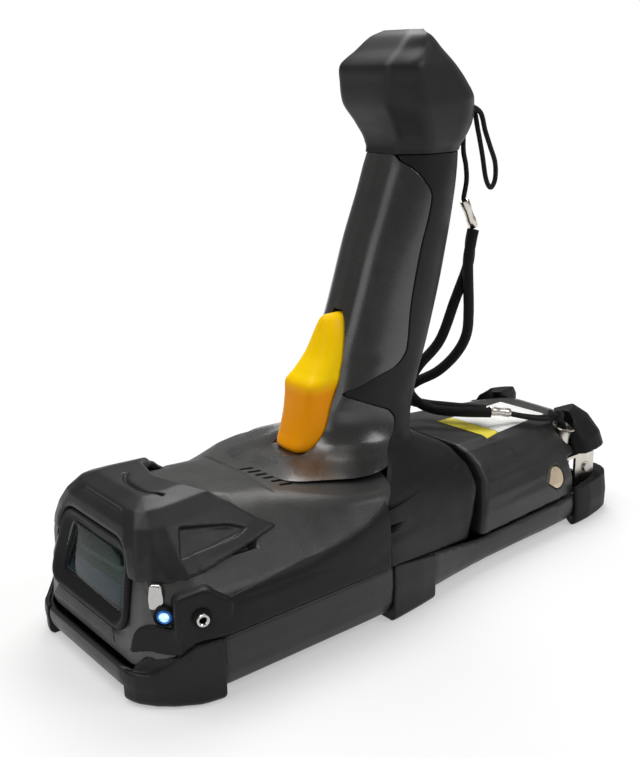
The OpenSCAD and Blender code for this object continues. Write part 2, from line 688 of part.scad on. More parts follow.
// Room for the trigger and its swing
module trigger_pocket() loft([
    for (r = concat([[-0.04, 0, 0, 6.5]], trigger_keys, [[1.02, 0, 0, 2]]))
        let(z = trigger_z + r[0] * trigger_h, w = (r[0] < 0.1 ? 8.4 : r[3]) * trigger_w / 18 + 1.2 * play,
            yf = lookup(z, [[trigger_z - 2, -32.6], [trigger_z + 0.5, -34.2], [trigger_z + 3, -37], [trigger_z + 5, -60]]),
            zb = max(z, pivot.z) + 24 * sin(trigger_swing),
            yb = lean_y(zb) - 17.3 + trigger_swept(zb))
            [[-w, yf, z], [w, yf, z], [w, yb, z], [-w, yb, z]]
]);
module trigger() color("#f0a81c") difference() {
    loft([for (r = trigger_keys) trigger_ring(r)]);
    translate(pivot) rotate([0, 90, 0]) cylinder(h = 30, r = pin_d / 2 + pin_fit, center = true, $fn = 48);
    translate(pivot) rotate([0, 90, 0]) cylinder(h = 7, r = 4.6, center = true, $fn = 48);
}
pin_l = 26;
module trigger_pin() color("#b4b4b6") translate(pivot) rotate([0, 90, 0])
    cylinder(h = pin_l, r = pin_d / 2, center = true, $fn = 48);
switch_at = [0, -1.2, 70];
module trigger_switch() color("#1f2022") translate(switch_at) {
    slab([-6.3, 0, -3], [6.3, 6, 3]);
    slab([-1.2, -0.4, -1], [1.2, 0.2, 1]);
}
// Torsion spring round the pin
spring_wire = 0.9;
spring_turns = 4;
module trigger_spring() color("#a8a8aa") let(n = 12, c = pin_d / 2 + spring_wire / 2 + play)
    loft([
        for (k = [0 : spring_turns * n])
            let(a = 360 * k / n, x = (k / n - spring_turns / 2) * (spring_wire + 0.35))
                [for (j = [0 : 5]) let(b = -60 * j, q = c + spring_wire / 2 * cos(b))
                    pivot + [x + spring_wire / 2 * sin(b), q * cos(a), q * sin(a)]]
    ]);

// Height under the top of the butt, distances from the axis at the neck and half widths as in the grip
butt_keys = [
    [1, 25.2, 6, 8, 15, 15, 9, 9, 9],
    [0.9, 26, 6.6, 9, 16.5, 16.5, 10, 8, 9],
    [0.75, 31, 7.6, 10, 18.5, 18, 11, 8, 10],
    [0.57, 38, 6, 11.5, 20, 18.5, 11, 9, 11],
    [0.42, 40.5, 0.6, 12, 20, 18, 10.5, 9, 11],
    [0.29, 42, -6, 12.2, 19.5, 17.5, 10, 8, 10],
    [0.15, 37, -14, 11, 16.5, 15, 9, 8, 8],
    [0.05, 33, -20, 9.5, 13.5, 12.5, 8, 5, 5],
    [0, 29.5, -23.5, 7, 10, 9, 6, 4, 4]
];
function butt_ring(r) =
    let(z = total_h - r[0] * butt_h, y = lean_y(z), ww = butt_w / 40)
    raised(whole(chain([
        [0, y - r[1]],
        [r[3] * ww, y - r[1]],
        [r[4] * ww, y - r[1] + r[7]],
        [r[5] * ww, y + r[2] - r[8]],
        [r[6] * ww, y + r[2]],
        [0, y + r[2]]
    ], [2, 3, 4, 5])), z + (r[0] == 1 ? fit : 0));
// Bores for the cords: down at the rear of the neck, and back through the rear face
cord_drop = [9, 43.9, neck_z + 11];
cord_back = [10.4, 43.5, neck_z + 14.5];
module butt_cap() color("#242427") difference() {
    loft([for (r = butt_keys) butt_ring(r)]);
    translate([cord_drop.x, cord_drop.y, cord_drop.z - 20]) cylinder(h = 20, r = thin_d / 2 + 0.3, $fn = 24);
    translate(cord_back) rotate([-90, 0, 0]) cylinder(h = 20, r = thin_d + 0.9, $fn = 32);
}

// --- Nose ---

// Boot: height, front behind the nose, half width of the front, of the side and of the wing
boot_keys = [
    [37.5, 5.7, 27, 39.2, 38],
    [42, 6.1, 26.5, 35, 32.7],
    [47, 7.1, 25, 30, 26],
    [51.5, 8.9, 22.5, 26, 21.5],
    [55.5, 12, 18.5, 21, 16.5],
    [57.5, 16.5, 13, 15, 11]
];
boot_l = 55.5;
boot_side = 17.5;
function boot_half(r) = chain([
    [0, nose_y + r[1]],
    [r[2], nose_y + r[1]],
    [r[3], nose_y + boot_side],
    [r[4], nose_y + boot_l],
    [0, nose_y + boot_l]
], [5, 6, 0.1]);
module boot_cutters() {
    translate([0, nose_y, 0]) {
        // Lower edge, rising from the nose to the wing tips
        rotate([90, 0, 90]) translate([0, 0, -60]) linear_extrude(120)
            polygon([[-4.5, 30], [60.5, 30], [60.5, 43.6], [53.5, 43.2], [12.5, 38.6], [-4.5, 38.6]]);
        // Bay between the wings
        translate([0, 0, 30]) linear_extrude(40)
            polygon([[-45, 65.5], [-31, 54], [-21, 39.5], [-13, 31.5], [0, 28.5], [13, 31.5], [21, 39.5],
                [31, 54], [45, 65.5]]);
    }
    // Arch over the glass
    on_nose() translate([0, 0, -2]) linear_extrude(12) window_outline(gasket_w + 1);
}
module nose_boot() color("#222225") difference() {
    loft([for (r = boot_keys) raised(whole(boot_half(r)), r[0])]);
    head_solid(-fit);
    boot_cutters();
}

gasket_w = 4.6;
module window_gasket() color("#19191b") on_nose() translate([0, 0, fit]) difference() {
    linear_extrude(1.7) window_outline(gasket_w);
    translate([0, 0, -1]) linear_extrude(4) window_outline(-1);
}
module scan_window() color("#39413c") on_nose() translate([0, 0, -glass_t]) linear_extrude(glass_t) window_outline(0);

// Height of the side band's top at y
function band_top(y) = lookup(y, [
    [nose_y + 12, shoulder_z + 5],
    [nose_y + 26, shoulder_z + 4.5],
    [nose_y + 31, shoulder_z - 0.5],
    [cut_y, shoulder_z - 0.5]
]);
// Half width of the head at height z and y
function side_x(z, y) = lookup(y, [for (q = inner(head_half(z))) [q.y, q.x]]);
band_steps = 16;
// One edge of a band, at fraction v of its height, grown by g and moved out by o
function band_edge(v, g, o) = [
    for (k = [0 : band_steps])
        let(
            y = nose_y + 12 + (cut_y - fit - nose_y - 12) * k / band_steps,
            z0 = seam_at(y) - 1,
            z = z0 + v * (band_top(y) - z0)
        )
        [side_x(z, y) + o, y + (k == 0 ? -g : k == band_steps ? g : 0), z + (2 * v - 1) * g]
];
module band(g = 0) difference() {
    loft([for (v = [0, 0.3, 0.7, 1]) concat(band_edge(v, g, 0.3 + 6 * g), reversed(band_edge(v, g, -skin - 2 * g)))]);
    under_seam(g > 0 ? -2 : 2 * fit);
}
module side_band_right() color("#1c1c1e") difference() {
    band();
    corner_holes();
}
module side_band_left() color("#1c1c1e") mirror([1, 0, 0]) band();

// --- Battery ---
battery_slope = 0.05;
// Height, half widths at the front and at the rear, Y of the rear end
battery_keys = [
    [tail_seam_z + 0.5, tail_x + 1, tail_x - 3.2, tail_y - 9],
    [seam_z, tail_x + 0.1, tail_x - 4.1, tail_y - 7.9],
    [26, tail_x - 1.2, tail_x - 5.9, tail_y - 6.9],
    [32, tail_x - 3.7, tail_x - 8.8, tail_y - 6.2],
    [38, tail_x - 7.1, tail_x - 13, tail_y - 7],
    [battery_top - 2.5, tail_x - 10.8, tail_x - 17, tail_y - 11],
    [battery_top - 0.5, tail_x - 16, tail_x - 22, tail_y - 17]
];
function saddle_y(z) = lookup(z, [for (r = waist_keys) [r[0] == seam_z ? tail_seam_z - 1 : r[0], r[4]]]) + crown;
function battery_ring(r) = [
    for (q = whole(chain([
        [0, saddle_y(r[0]) + channel], [r[1], saddle_y(r[0]) + channel], [r[2] + 1, tail_taper],
        [r[2] - 4, r[3]], [0, r[3]]
    ], [2, 12, 5])))
        [q.x, q.y, r[0] - battery_slope * (q.y - waist_end) * (r[0] - tail_seam_z) / (battery_top - tail_seam_z)]
];
module battery_solid() loft([for (r = battery_keys) battery_ring(r)]);
base_t = 2;
cell_x = cell_d / 2 + 0.6;
cell_y = waist_end + 9.5;
cell_len = tail_taper - cell_gap - cell_y;
base_x = 2 * cell_x + 4.4;
cell_z = tail_seam_z + 0.5 + base_t + 0.3 + cell_d / 2;
eye = [22, tail_taper + 4.5];
button_at = [27.5, tail_taper - 11.5, 22.5];
button_r = 4;
module button_form(g) translate(button_at) rotate([90, 0, 90]) rotate([0, 0, 100]) linear_extrude(20) {
    circle(r = button_r + g, $fn = 32);
    rotate([0, 0, 45]) square(button_r + g);
}
module cell_room(g) slab([-2 * cell_x - g + 0.6, cell_y - g, tail_seam_z], [2 * cell_x + g - 0.6, cell_y + cell_len + g, cell_z + cell_d / 2 + g]);
module base_plate(g, z1) difference() {
    slab([-base_x - g, cell_y - 4 - g, tail_seam_z + 0.5 - 2 * g], [base_x + g, tail_taper - 3 + g, z1]);
    slab([-14, waist_end + 9, 0], [14, waist_end + 19, tail_seam_z + 1.2]);
}
module battery_case() color("#3e3e40") difference() {
    battery_solid();
    slab([-base_x - fit, cell_y - 4 - fit, 0], [base_x + fit, tail_taper - 3 + fit, tail_seam_z + 0.5 + base_t + fit]);
    slab([-2 * cell_x - 0.4, cell_y - 0.3, 0], [2 * cell_x + 0.4, cell_y + cell_len + 0.3, cell_z + cell_d / 2 + 0.3]);
    both() {
        slab([16.5, post_y[0] - 0.5, 0], [45, tail_y + 5, post_z + 1.9]);
        translate([eye.x, eye.y, 10]) cylinder(h = 40, d = eye_d, $fn = 48);
        button_form(play);
    }
}
module battery_base() color("#333335") base_plate(0, tail_seam_z + 0.5 + base_t);
module battery_cells() color("#5b7d9a") for (x = [-cell_x, cell_x])
    translate([x, cell_y, cell_z]) rotate([-90, 0, 0]) cylinder(h = cell_len, d = cell_d, $fn = 48);
module release_button() intersection() {
    battery_solid();
    difference() {
        button_form(0);
        slab([0, 0, 0], [button_at.x + button_travel + 0.6, tail_y, 60]);
    }
}
module release_button_right() color("#b5aa95") release_button();
module release_button_left() color("#b5aa95") mirror([1, 0, 0]) release_button();

// Bumper round the ear of the battery
// Height, half widths inside, outside and at the rear, distance of the rear from the tail's end
ear_keys = [
    [27.6, 18, 33, 31.5, 0.5],
    [33, 17, 31, 29.5, 1],
    [39, 15.5, 27, 25, 3],
    [43, 14.5, 22, 20.5, 7.5]
];
module ear_bumper() difference() {
    loft([
        for (r = ear_keys)
            let(y = tail_y - r[4]) raised(loop([
                [r[1], tail_taper + 8], [r[2] - 4, tail_taper + 4], [r[2], tail_taper + 7], [r[3], y - 6],
                [r[3] - 4, y - 0.3], [r[1] + 1, y - 1.8], [r[1], tail_taper + 8]
            ], [2, 3, 4, 4, 3]), r[0])
    ]);
    battery_solid();
    translate([eye.x, eye.y, 10]) cylinder(h = 40, d = eye_d, $fn = 48);
}
module ear_bumper_right() color("#1a1a1c") ear_bumper();
module ear_bumper_left() color("#1a1a1c") mirror([1, 0, 0]) ear_bumper();

// Bracket that holds the strap's end at the tail
bracket_t = 1.2;
module bracket() {
    slab([post_x + fit, post_y[0] + 5.5, tail_seam_z + 0.2], [post_x + fit + bracket_t, post_y[1], post_z + fit + bracket_t]);
    slab([eye.x - 4, post_y[0], post_z + fit], [post_x + fit + bracket_t, post_y[1], post_z + fit + bracket_t]);
    translate([eye.x, eye.y, post_z + fit]) cylinder(h = 9.5, d = eye_d - 2 * play, $fn = 48);
}
module bracket_cut() {
    translate([eye.x, eye.y, post_z + fit + bracket_t]) cylinder(h = 20, d = eye_d - 2 * play - 1.8, $fn = 48);
    bracket_bore();
}
module strap_bracket() difference() {
    bracket();
    bracket_cut();
}
module strap_bracket_right() color("#cfcabb") strap_bracket();
module strap_bracket_left() color("#cfcabb") mirror([1, 0, 0]) strap_bracket();
module bracket_screws() color("#a8a49a") both() translate([post_x + fit + bracket_t + 0.02, post_y[0] + 12.5, 20])
    rotate([0, 90, 0]) {
        cylinder(h = 0.9, r = 2, $fn = 32);
        translate([0, 0, -5]) cylinder(h = 5.4, r = 1, $fn = 24);
    }

// --- Lanyard ---

// Routes of the cords, from end to end
butt_route = [[9, 43.9, 163], [9, 43.9, 157], [9, 44.2, 151], [9.2, 45.4, 146], [9.5, 45.6, 140.5], [9.5, 44.3, 134.2]];
loop_route = [
    [9, 43.6, 166.5], [9.4, 48.5, 165.5], [10, 50.4, 158.5], [10, 53, 150], [10, 55.5, 140.5], [10, 58.3, 137],
    [10, 60.6, 140], [10, 60.3, 146], [10.8, 56.5, 152], [11.6, 52.6, 158], [11.8, 49.6, 164.5], [11.8, 43.6, 167.5]
];
strand_a = [
    [8, 51.2, 122], [8, 50.1, 117.5], [8, 49.2, 109], [6, 44.6, 95.5], [2, 41, 79.7], [-3, 35, 69.8], [-7.5, 34.5, 62.5],
    [-9.5, 36.5, 56.5], [-7, 40, 51.8], [-1, 43.5, 50], [6, 50, 49.4], [12.8, 59.2, 48.8]
];
strand_b = [
    [11, 48.6, 122.4], [11.2, 47, 117.5], [11, 45.9, 109.8], [10, 48, 91.4], [7.5, 49.6, 81], [3, 48.5, 72.5],
    [-3, 45, 65.2], [-9.5, 40, 60.5], [-13.8, 38.5, 56], [-15, 41.5, 51.3], [-10.5, 46.5, 49.4], [-4, 50.5, 49.2],
    [3, 55.5, 49], [9.2, 60.5, 48.8]
];
tether_route = [
    [13.1, 69.8, 46.3], [17, 76, 44.6], [20, 83, 43.2], [20.6, 89.5, 42.6], [20.6, 92.6, 39.5], [20.6, 93, 34],
    [20.6, 93, 30], [22, 93, 28], [23.4, 93, 30], [23.4, 93, 34], [23.4, 91.8, 39.5], [23.2, 87.5, 42.6],
    [22, 81.5, 43.2], [19, 75, 44.6], [15, 69.2, 46.3]
];
crimps = [[[9.5, 44.5, 133.6], [9.5, 50, 123.2]], [[11, 60.4, 48.8], [14, 69.2, 46.7]]];

function catmull(a, b, c, d, t) =
    0.5 * (2 * b + (c - a) * t + (2 * a - 5 * b + 4 * c - d) * t * t + (3 * b - a - 3 * c + d) * t * t * t);
// Points along route p, k to each of its spans
function smoothed(p, k) = [
    for (i = [0 : len(p) - 2], j = [0 : k - 1])
        catmull(p[max(i - 1, 0)], p[i], p[i + 1], p[min(i + 2, len(p) - 1)], j / k),
    p[len(p) - 1]
];
function unit(v) = v / norm(v);
function heading(p, i) = unit(p[min(i + 1, len(p) - 1)] - p[max(i - 1, 0)]);
// Side vectors carried along path p without twist
function carried(p) = [
    for (i = 0, u = unit(cross(heading(p, 0), [0.3, 0.5, 0.8])); i < len(p);
        i = i + 1, u = i < len(p) ? unit(u - heading(p, i) * (u * heading(p, i))) : u) u
];
module tube(p, d, sides) let(u = carried(p))
    loft([
        for (i = [0 : len(p) - 1])
            let(v = cross(heading(p, i), u[i]))
                [for (k = [0 : sides - 1]) let(a = -360 * k / sides) p[i] + d / 2 * (u[i] * cos(a) + v * sin(a))]
    ]);
module butt_cord() color("#141416") tube(smoothed(butt_route, 2), thin_d, 8);
module spare_loop() color("#141416") tube(smoothed(loop_route, 2), thin_d, 8);
module wrist_cord_a() color("#141416") tube(smoothed(strand_a, 1), wrist_d, 8);
module wrist_cord_b() color("#141416") tube(smoothed(strand_b, 1), wrist_d, 8);
module tether_cord() color("#141416") tube(tether_route, thin_d, 8);
// Crimped sleeves where the cords change
module cord_crimps() color("#c6c6c2") for (c = crimps)
    let(v = unit(c[1] - c[0]))
        translate(c[0] + 0.3 * v) rotate([0, acos(v.z), atan2(v.y, v.x)])
            cylinder(h = norm(c[1] - c[0]) - 0.6, d = wrist_d * 0.9, $fn = 32);

face_housing();
back_housing();
nose_boot();
window_gasket();
scan_window();
scan_engine();
scan_board();
light_guide();
indicator_lens();
headset_jack();
side_band_right();
side_band_left();
front_foot_right();
front_foot_left();
mid_foot_right();
mid_foot_left();
tail_bumper_right();
tail_bumper_left();
strap_bracket_right();
strap_bracket_left();
bracket_screws();
grip_core();
grip_overmould();
butt_cap();
trigger();
trigger_pin();
trigger_spring();
trigger_switch();
battery_case();
battery_base();
battery_cells();
ear_bumper_right();
ear_bumper_left();
release_button_right();
release_button_left();
battery_contacts();
main_board();
display_module();
touch_window();
keypad_frame();
keypad_board();
housing_screws();
key_r1c1();
key_r1c2();
key_r1c3();
key_r2c1();
key_r2c2();
key_r2c3();
key_r3c1();
key_r3c2();
key_r3c3();
key_r4c1();
key_r4c2();
key_r4c3();
butt_cord();
spare_loop();
wrist_cord_a();
wrist_cord_b();
tether_cord();
cord_crimps();
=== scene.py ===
import math
import bpy
import bmesh
import numpy as np
from mathutils import Matrix, Vector


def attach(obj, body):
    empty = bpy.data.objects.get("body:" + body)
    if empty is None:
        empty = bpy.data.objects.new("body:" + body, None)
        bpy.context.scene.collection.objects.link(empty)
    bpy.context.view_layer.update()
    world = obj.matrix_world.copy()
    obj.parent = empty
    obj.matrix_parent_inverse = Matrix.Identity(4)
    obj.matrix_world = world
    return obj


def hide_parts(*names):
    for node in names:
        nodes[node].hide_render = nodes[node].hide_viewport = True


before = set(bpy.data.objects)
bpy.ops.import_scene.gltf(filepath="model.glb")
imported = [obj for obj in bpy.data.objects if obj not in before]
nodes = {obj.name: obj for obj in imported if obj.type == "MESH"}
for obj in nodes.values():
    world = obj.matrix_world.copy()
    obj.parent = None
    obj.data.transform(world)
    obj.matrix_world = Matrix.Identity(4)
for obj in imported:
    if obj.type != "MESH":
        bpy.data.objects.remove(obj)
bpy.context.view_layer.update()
mm = 0.001

# Camera and lamps

cameraSet = {
    "place": (0.27418, -0.239298, 0.182433),
    "right": (0.633218, 0.773805, -0.016126),
    "up": (-0.214477, 0.195453, 0.956973),
    "ahead": (-0.743663, 0.602514, -0.289728),
    "focal": 49.53, "sensor": 36.0, "clip": (0.01, 20.0),
}


def added(name, data):
    obj = bpy.data.objects.new(name, data)
    bpy.context.scene.collection.objects.link(obj)
    return obj


def addCamera(c):
    data = bpy.data.cameras.new("camera")
    cam = added("camera", data)
    turn = Matrix((c["right"], c["up"], [-v for v in c["ahead"]])).transposed()
    cam.matrix_world = Matrix.Translation(c["place"]) @ turn.to_4x4()
    data.lens, data.sensor_width = c["focal"], c["sensor"]
    data.clip_start, data.clip_end = c["clip"]
    bpy.context.scene.camera = cam


def addLamp(name, place, aim, size, power, colour):
    data = bpy.data.lights.new(name, "AREA")
    data.shape, data.size, data.size_y = "RECTANGLE", size[0], size[1]
    data.energy, data.color = power, colour
    lamp = added(name, data)
    lamp.location = place
    lamp.rotation_euler = (Vector(aim) - Vector(place)).to_track_quat("-Z", "Y").to_euler()


addCamera(cameraSet)
bpy.context.scene.view_settings.view_transform = "Standard"


# Short ways to add nodes to a tree; a value may be a fixed one or the output of another node
class Nodes:
    def __init__(self, tree):
        self.tree = tree

    def feed(self, socket, value):
        if hasattr(value, "links"):
            self.tree.links.new(value, socket)
        else:
            socket.default_value = value

    def node(self, kind, **values):
        n = self.tree.nodes.new("ShaderNode" + kind)
        for key, value in values.items():
            if hasattr(n, key):
                setattr(n, key, value)
            else:
                self.feed(n.inputs[key.replace("_", " ")], value)
        return n

    def maths(self, kind, a, b):
        n = self.node("Math", operation=kind)
        self.feed(n.inputs[0], a)
        self.feed(n.inputs[1], b)
        return n.outputs[0]

    def span(self, value, low, high, a=0.3, b=0.7):
        return self.node("MapRange", Value=value, From_Min=a, From_Max=b, To_Min=low, To_Max=high).outputs["Result"]


# A material with the usual nodes
class Finish(Nodes):
    def __init__(self, name):
        self.mat = bpy.data.materials.new(name)
        self.mat.use_nodes = True
        super().__init__(self.mat.node_tree)
        self.shader = self.tree.nodes["Principled BSDF"]
        self.coord = self.node("TexCoord").outputs["Object"]

    def put(self, **values):
        for key, value in values.items():
            self.feed(self.shader.inputs[key.replace("_", " ")], value)
        return self

    def noise(self, scale, detail=3.0, rough=0.5):
        n = self.node("TexNoise", Scale=scale, Detail=detail, Roughness=rough, Vector=self.coord)
        return n.outputs["Fac"]

    def ramp(self, fac, stops):
        r = self.node("ValToRGB", Fac=fac)
        e = r.color_ramp.elements
        while len(e) < len(stops):
            e.new(0.5)
        for item, (at, colour) in zip(e, stops):
            item.position, item.color = at, (*colour, 1)
        return r.outputs["Color"]

    def mix(self, fac, a, b):
        n = self.node("Mix", data_type="RGBA")
        for at, value in ((0, fac), (6, a), (7, b)):
            self.feed(n.inputs[at], value)
        return n.outputs[2]

    def bump(self, height, strength, distance, **more):
        return self.node("Bump", Strength=strength, Distance=distance, Height=height, **more).outputs["Normal"]


def grey(v, tint=(1, 1, 1)):
    return tuple(v * t for t in tint)


mouldedSet = {
    # scales of the clouds, the worn patches and the ripple
    "clouds": 38.0, "patches": 90.0, "ripple": 22.0,
    # share of the tone that wears, how much brighter the painted glints are, depths of the grain and the ripple
    "wear": 0.25, "bright": 3.2, "deep": 0.0003, "rippleDeep": 0.0006,
}


def mouldedFinish(name, base, tint, rough, grain, depth, gloss, paintedGlint=0.0, coat=0.0):
    # Moulded plastic or rubber: cloudy colour, worn patches, fine eroded grain, a broad ripple and, where asked,
    # painted glints: specks of brighter colour on the grain's crowns
    m = mouldedSet
    f = Finish(name).put(IOR=1.48, Specular_IOR_Level=gloss, Coat_Weight=coat, Coat_Roughness=0.18)
    low, high = [grey(base * (1 + side * m["wear"]), tint) for side in (-1, 1)]
    colour = f.ramp(f.noise(m["clouds"], 4.0, 0.6), [(0.3, low), (0.7, high)])
    fine = f.noise(grain, 3.0, 0.65)
    # Painted glints: the grain's crowns take a brighter colour, standing for highlights on the grain
    if paintedGlint:
        bright = (*grey(base * m["bright"], tint), 1)
        colour = f.mix(f.span(fine, 0.0, paintedGlint, 0.5, 0.72), colour, bright)
    patches = f.span(f.noise(m["patches"], 3.0, 0.6), rough - 0.05, rough + 0.08)
    broad = f.bump(f.noise(m["ripple"], 2.0), 0.12, m["rippleDeep"])
    return f.put(Base_Color=colour, Roughness=patches, Normal=f.bump(fine, depth, m["deep"], Normal=broad)).mat


def plainFinish(name, colour, rough, grain, depth, metal=0.0, gloss=0.5):
    # One colour with cloudy variation, fine grain and a worn roughness
    f = Finish(name).put(Metallic=metal, Specular_IOR_Level=gloss)
    c = np.array(colour)
    clouds = f.ramp(f.noise(60.0, 4.0, 0.6), [(0.3, tuple(c * 0.86)), (0.7, tuple(np.minimum(c * 1.12, 1)))])
    worn = f.span(f.noise(140.0, 3.0, 0.6), rough - 0.05, rough + 0.07)
    grains = f.bump(f.noise(grain, 3.0, 0.6), depth, mouldedSet["deep"])
    return f.put(Base_Color=clouds, Roughness=worn, Normal=grains).mat


mouldedRows = {
    # name, tone, tint, roughness, scale and depth of the grain, gloss, painted glint, coat
    "rubber": ("blackRubber", 0.008, (1, 0.96, 1.10), 0.48, 2600, 0.10, 0.15),
    "grip": ("gripRubber", 0.012, (1, 0.96, 1.08), 0.42, 2300, 0.12, 0.18),
    "boot": ("bootRubber", 0.014, (1, 0.95, 1.08), 0.40, 2200, 0.14, 0.32),
    "butt": ("buttRubber", 0.014, (1, 0.97, 1.05), 0.45, 1500, 0.16, 0.28),
    "foot": ("footRubber", 0.012, (0.96, 1, 1.10), 0.40, 2600, 0.10, 0.24),
    "shell": ("shellPlastic", 0.030, (1, 1, 0.97), 0.34, 1900, 0.30, 0.4, 0.22),
    "nose": ("nosePlastic", 0.085, (1, 0.98, 0.97), 0.40, 2100, 0.25, 0.32, 0.2),
    "insert": ("insertPlastic", 0.017, (1.05, 1, 0.95), 0.26, 2100, 0.16, 0.75, 0.12, 0.45),
    "face": ("facePlastic", 0.022, (0.98, 1, 1.02), 0.34, 2200, 0.22, 0.35, 0.15),
    "pack": ("packPlastic", 0.026, (1.0, 1, 0.97), 0.31, 2000, 0.25, 0.4, 0.22),
    "gasket": ("gasketRubber", 0.008, (1, 0.94, 1), 0.50, 2600, 0.10, 0.22),
}
plainRows = {
    # name, colour, roughness, scale and depth of the grain, metal, gloss
    "label": ("labelYellow", (0.85, 0.72, 0.03), 0.5, 2500, 0.05),
    "labelWhite": ("labelGrey", (0.82, 0.82, 0.80), 0.45, 2500, 0.05),
    "button": ("buttonPaint", (0.68, 0.56, 0.40), 0.36, 2600, 0.08, 0.5),
    "nickel": ("nickelPlate", (0.66, 0.62, 0.56), 0.28, 1800, 0.06, 1.0),
    "steel": ("screwSteel", (0.56, 0.55, 0.52), 0.32, 1500, 0.08, 1.0),
    "chrome": ("lightGuide", (0.52, 0.51, 0.49), 0.16, 900, 0.10, 1.0),
    "board": ("boardGreen", (0.022, 0.075, 0.03), 0.38, 700, 0.18),
    "contact": ("contactBrass", (0.7, 0.5, 0.18), 0.3, 900, 0.08, 1.0),
    "module": ("engineBlack", (0.012, 0.013, 0.016), 0.4, 1300, 0.15),
    "copper": ("copperPart", (0.42, 0.23, 0.10), 0.42, 900, 0.15, 0.3),
    "panel": ("panelGlass", (0.012, 0.013, 0.016), 0.12, 300, 0.02),
    "bezel": ("bezelBlack", (0.022, 0.022, 0.024), 0.42, 1800, 0.15),
    "cell": ("cellWrap", (0.05, 0.14, 0.32), 0.35, 400, 0.05),
    "key": ("keyCap", (0.62, 0.62, 0.60), 0.45, 2200, 0.12),
    "dark": ("darkPocket", (0.006, 0.006, 0.007), 0.6, 2200, 0.12, 0.0, 0.15),
    "teal": ("windowInside", (0.016, 0.034, 0.042), 0.5, 900, 0.2),
}
finishes = {key: mouldedFinish(*row) for key, row in mouldedRows.items()}
finishes.update({key: plainFinish(*row) for key, row in plainRows.items()})


def addFinishes():
    # Painted shade and light: the trigger's yellow is darker and more orange towards its foot, where its front is in
    # shade, and yellowest just above the fold, where light falls on it
    paint = Finish("triggerYellow").put(Roughness=0.38, Specular_IOR_Level=0.12)
    height = paint.node("SeparateXYZ", Vector=paint.coord).outputs["Z"]
    stops = [(0.0, (0.98, 0.36, 0.0)), (0.44, (0.96, 0.33, 0.0)), (0.58, (1.0, 0.66, 0.0)), (1.0, (1.0, 0.60, 0.0))]
    grain = paint.bump(paint.noise(900.0, 3.0, 0.6), 0.08, mouldedSet["deep"])
    paint.put(Base_Color=paint.ramp(paint.span(height, 0.0, 1.0, 0.055, 0.095), stops), Normal=grain)
    glass = Finish("windowGlass").put(
        Base_Color=(0.52, 0.60, 0.64, 1), Transmission_Weight=1.0, Roughness=0.02, IOR=1.15
    )
    glass.put(Normal=glass.bump(glass.noise(30.0, 2.0), 0.02, 0.0004))
    finishes["yellow"], finishes["glass"] = paint.mat, glass.mat
    for key, low, high, glow in (
        ("glow", (0.25, 0.52, 0.80), (0.75, 0.90, 1.0), 0.9),
        ("blueRing", (0.004, 0.05, 0.20), (0.012, 0.12, 0.38), 0.8),
    ):
        lamp = Finish(key + "Lens").put(Roughness=0.12, IOR=1.5, Emission_Strength=glow)
        spots = lamp.ramp(lamp.noise(700.0, 2.0), [(0.35, low), (0.65, high)])
        finishes[key] = lamp.put(Base_Color=spots, Emission_Color=spots).mat
    # Braid: two sets of diagonal strands in the cord's own coordinates
    for key, base, turns in (("cord", 0.006, 14.0), ("thinCord", 0.007, 8.0)):
        braid = Finish(key + "Braid")
        braid.put(Roughness=0.62, Sheen_Weight=0.06, Sheen_Roughness=0.4, Specular_IOR_Level=0.15)
        uv = braid.node("UVMap", uv_map="braid").outputs["UV"]
        waves = []
        for turn in (1, -1):
            m = braid.node("Mapping", Vector=uv, Rotation=(0, 0, turn * math.radians(45)), Scale=(turns, turns, 1))
            waves.append(braid.node("TexWave", Scale=1.0, Vector=m.outputs["Vector"]).outputs["Fac"])
        both = braid.maths("MAXIMUM", *waves)
        # Painted shade and highlight: the braid is darker in the grooves between strands and lighter, a little blue, on
        # their crowns
        tone = braid.ramp(both, [(0.35, grey(base * 0.45)), (0.95, grey(base * 1.9, (1, 1, 1.1)))])
        finishes[key] = braid.put(Base_Color=tone, Normal=braid.bump(both, 0.9, 0.0006)).mat


addFinishes()
print("materials made")

# Floor, backdrop and lamps

studioSet = {
    "half": 6, "floorTone": 0.84, "glow": 0.42, "world": 0.2,
    # distances over which the floor's glow rises to 1
    "fade": (0.15, 0.42),
    # place, aim, size, power, colour
    "lamps": [
        ("topLight", (-0.2, -0.3, 1.05), (0, 0, 0.06), (0.7, 0.7), 6.5, (1.0, 0.99, 0.98)),
        ("rearLight", (-0.40, 0.45, 0.98), (0, 0, 0.06), (0.6, 0.6), 8.0, (1.0, 1.0, 0.99)),
        ("sideLight", (0.70, 0.50, 0.75), (0, 0, 0.08), (0.5, 0.5), 3.4, (0.97, 0.98, 1.0)),
        ("frontLight", (0.25, -1.15, 0.5), (0, 0, 0.08), (0.7, 0.7), 2.0, (1, 1, 1)),
    ],
}


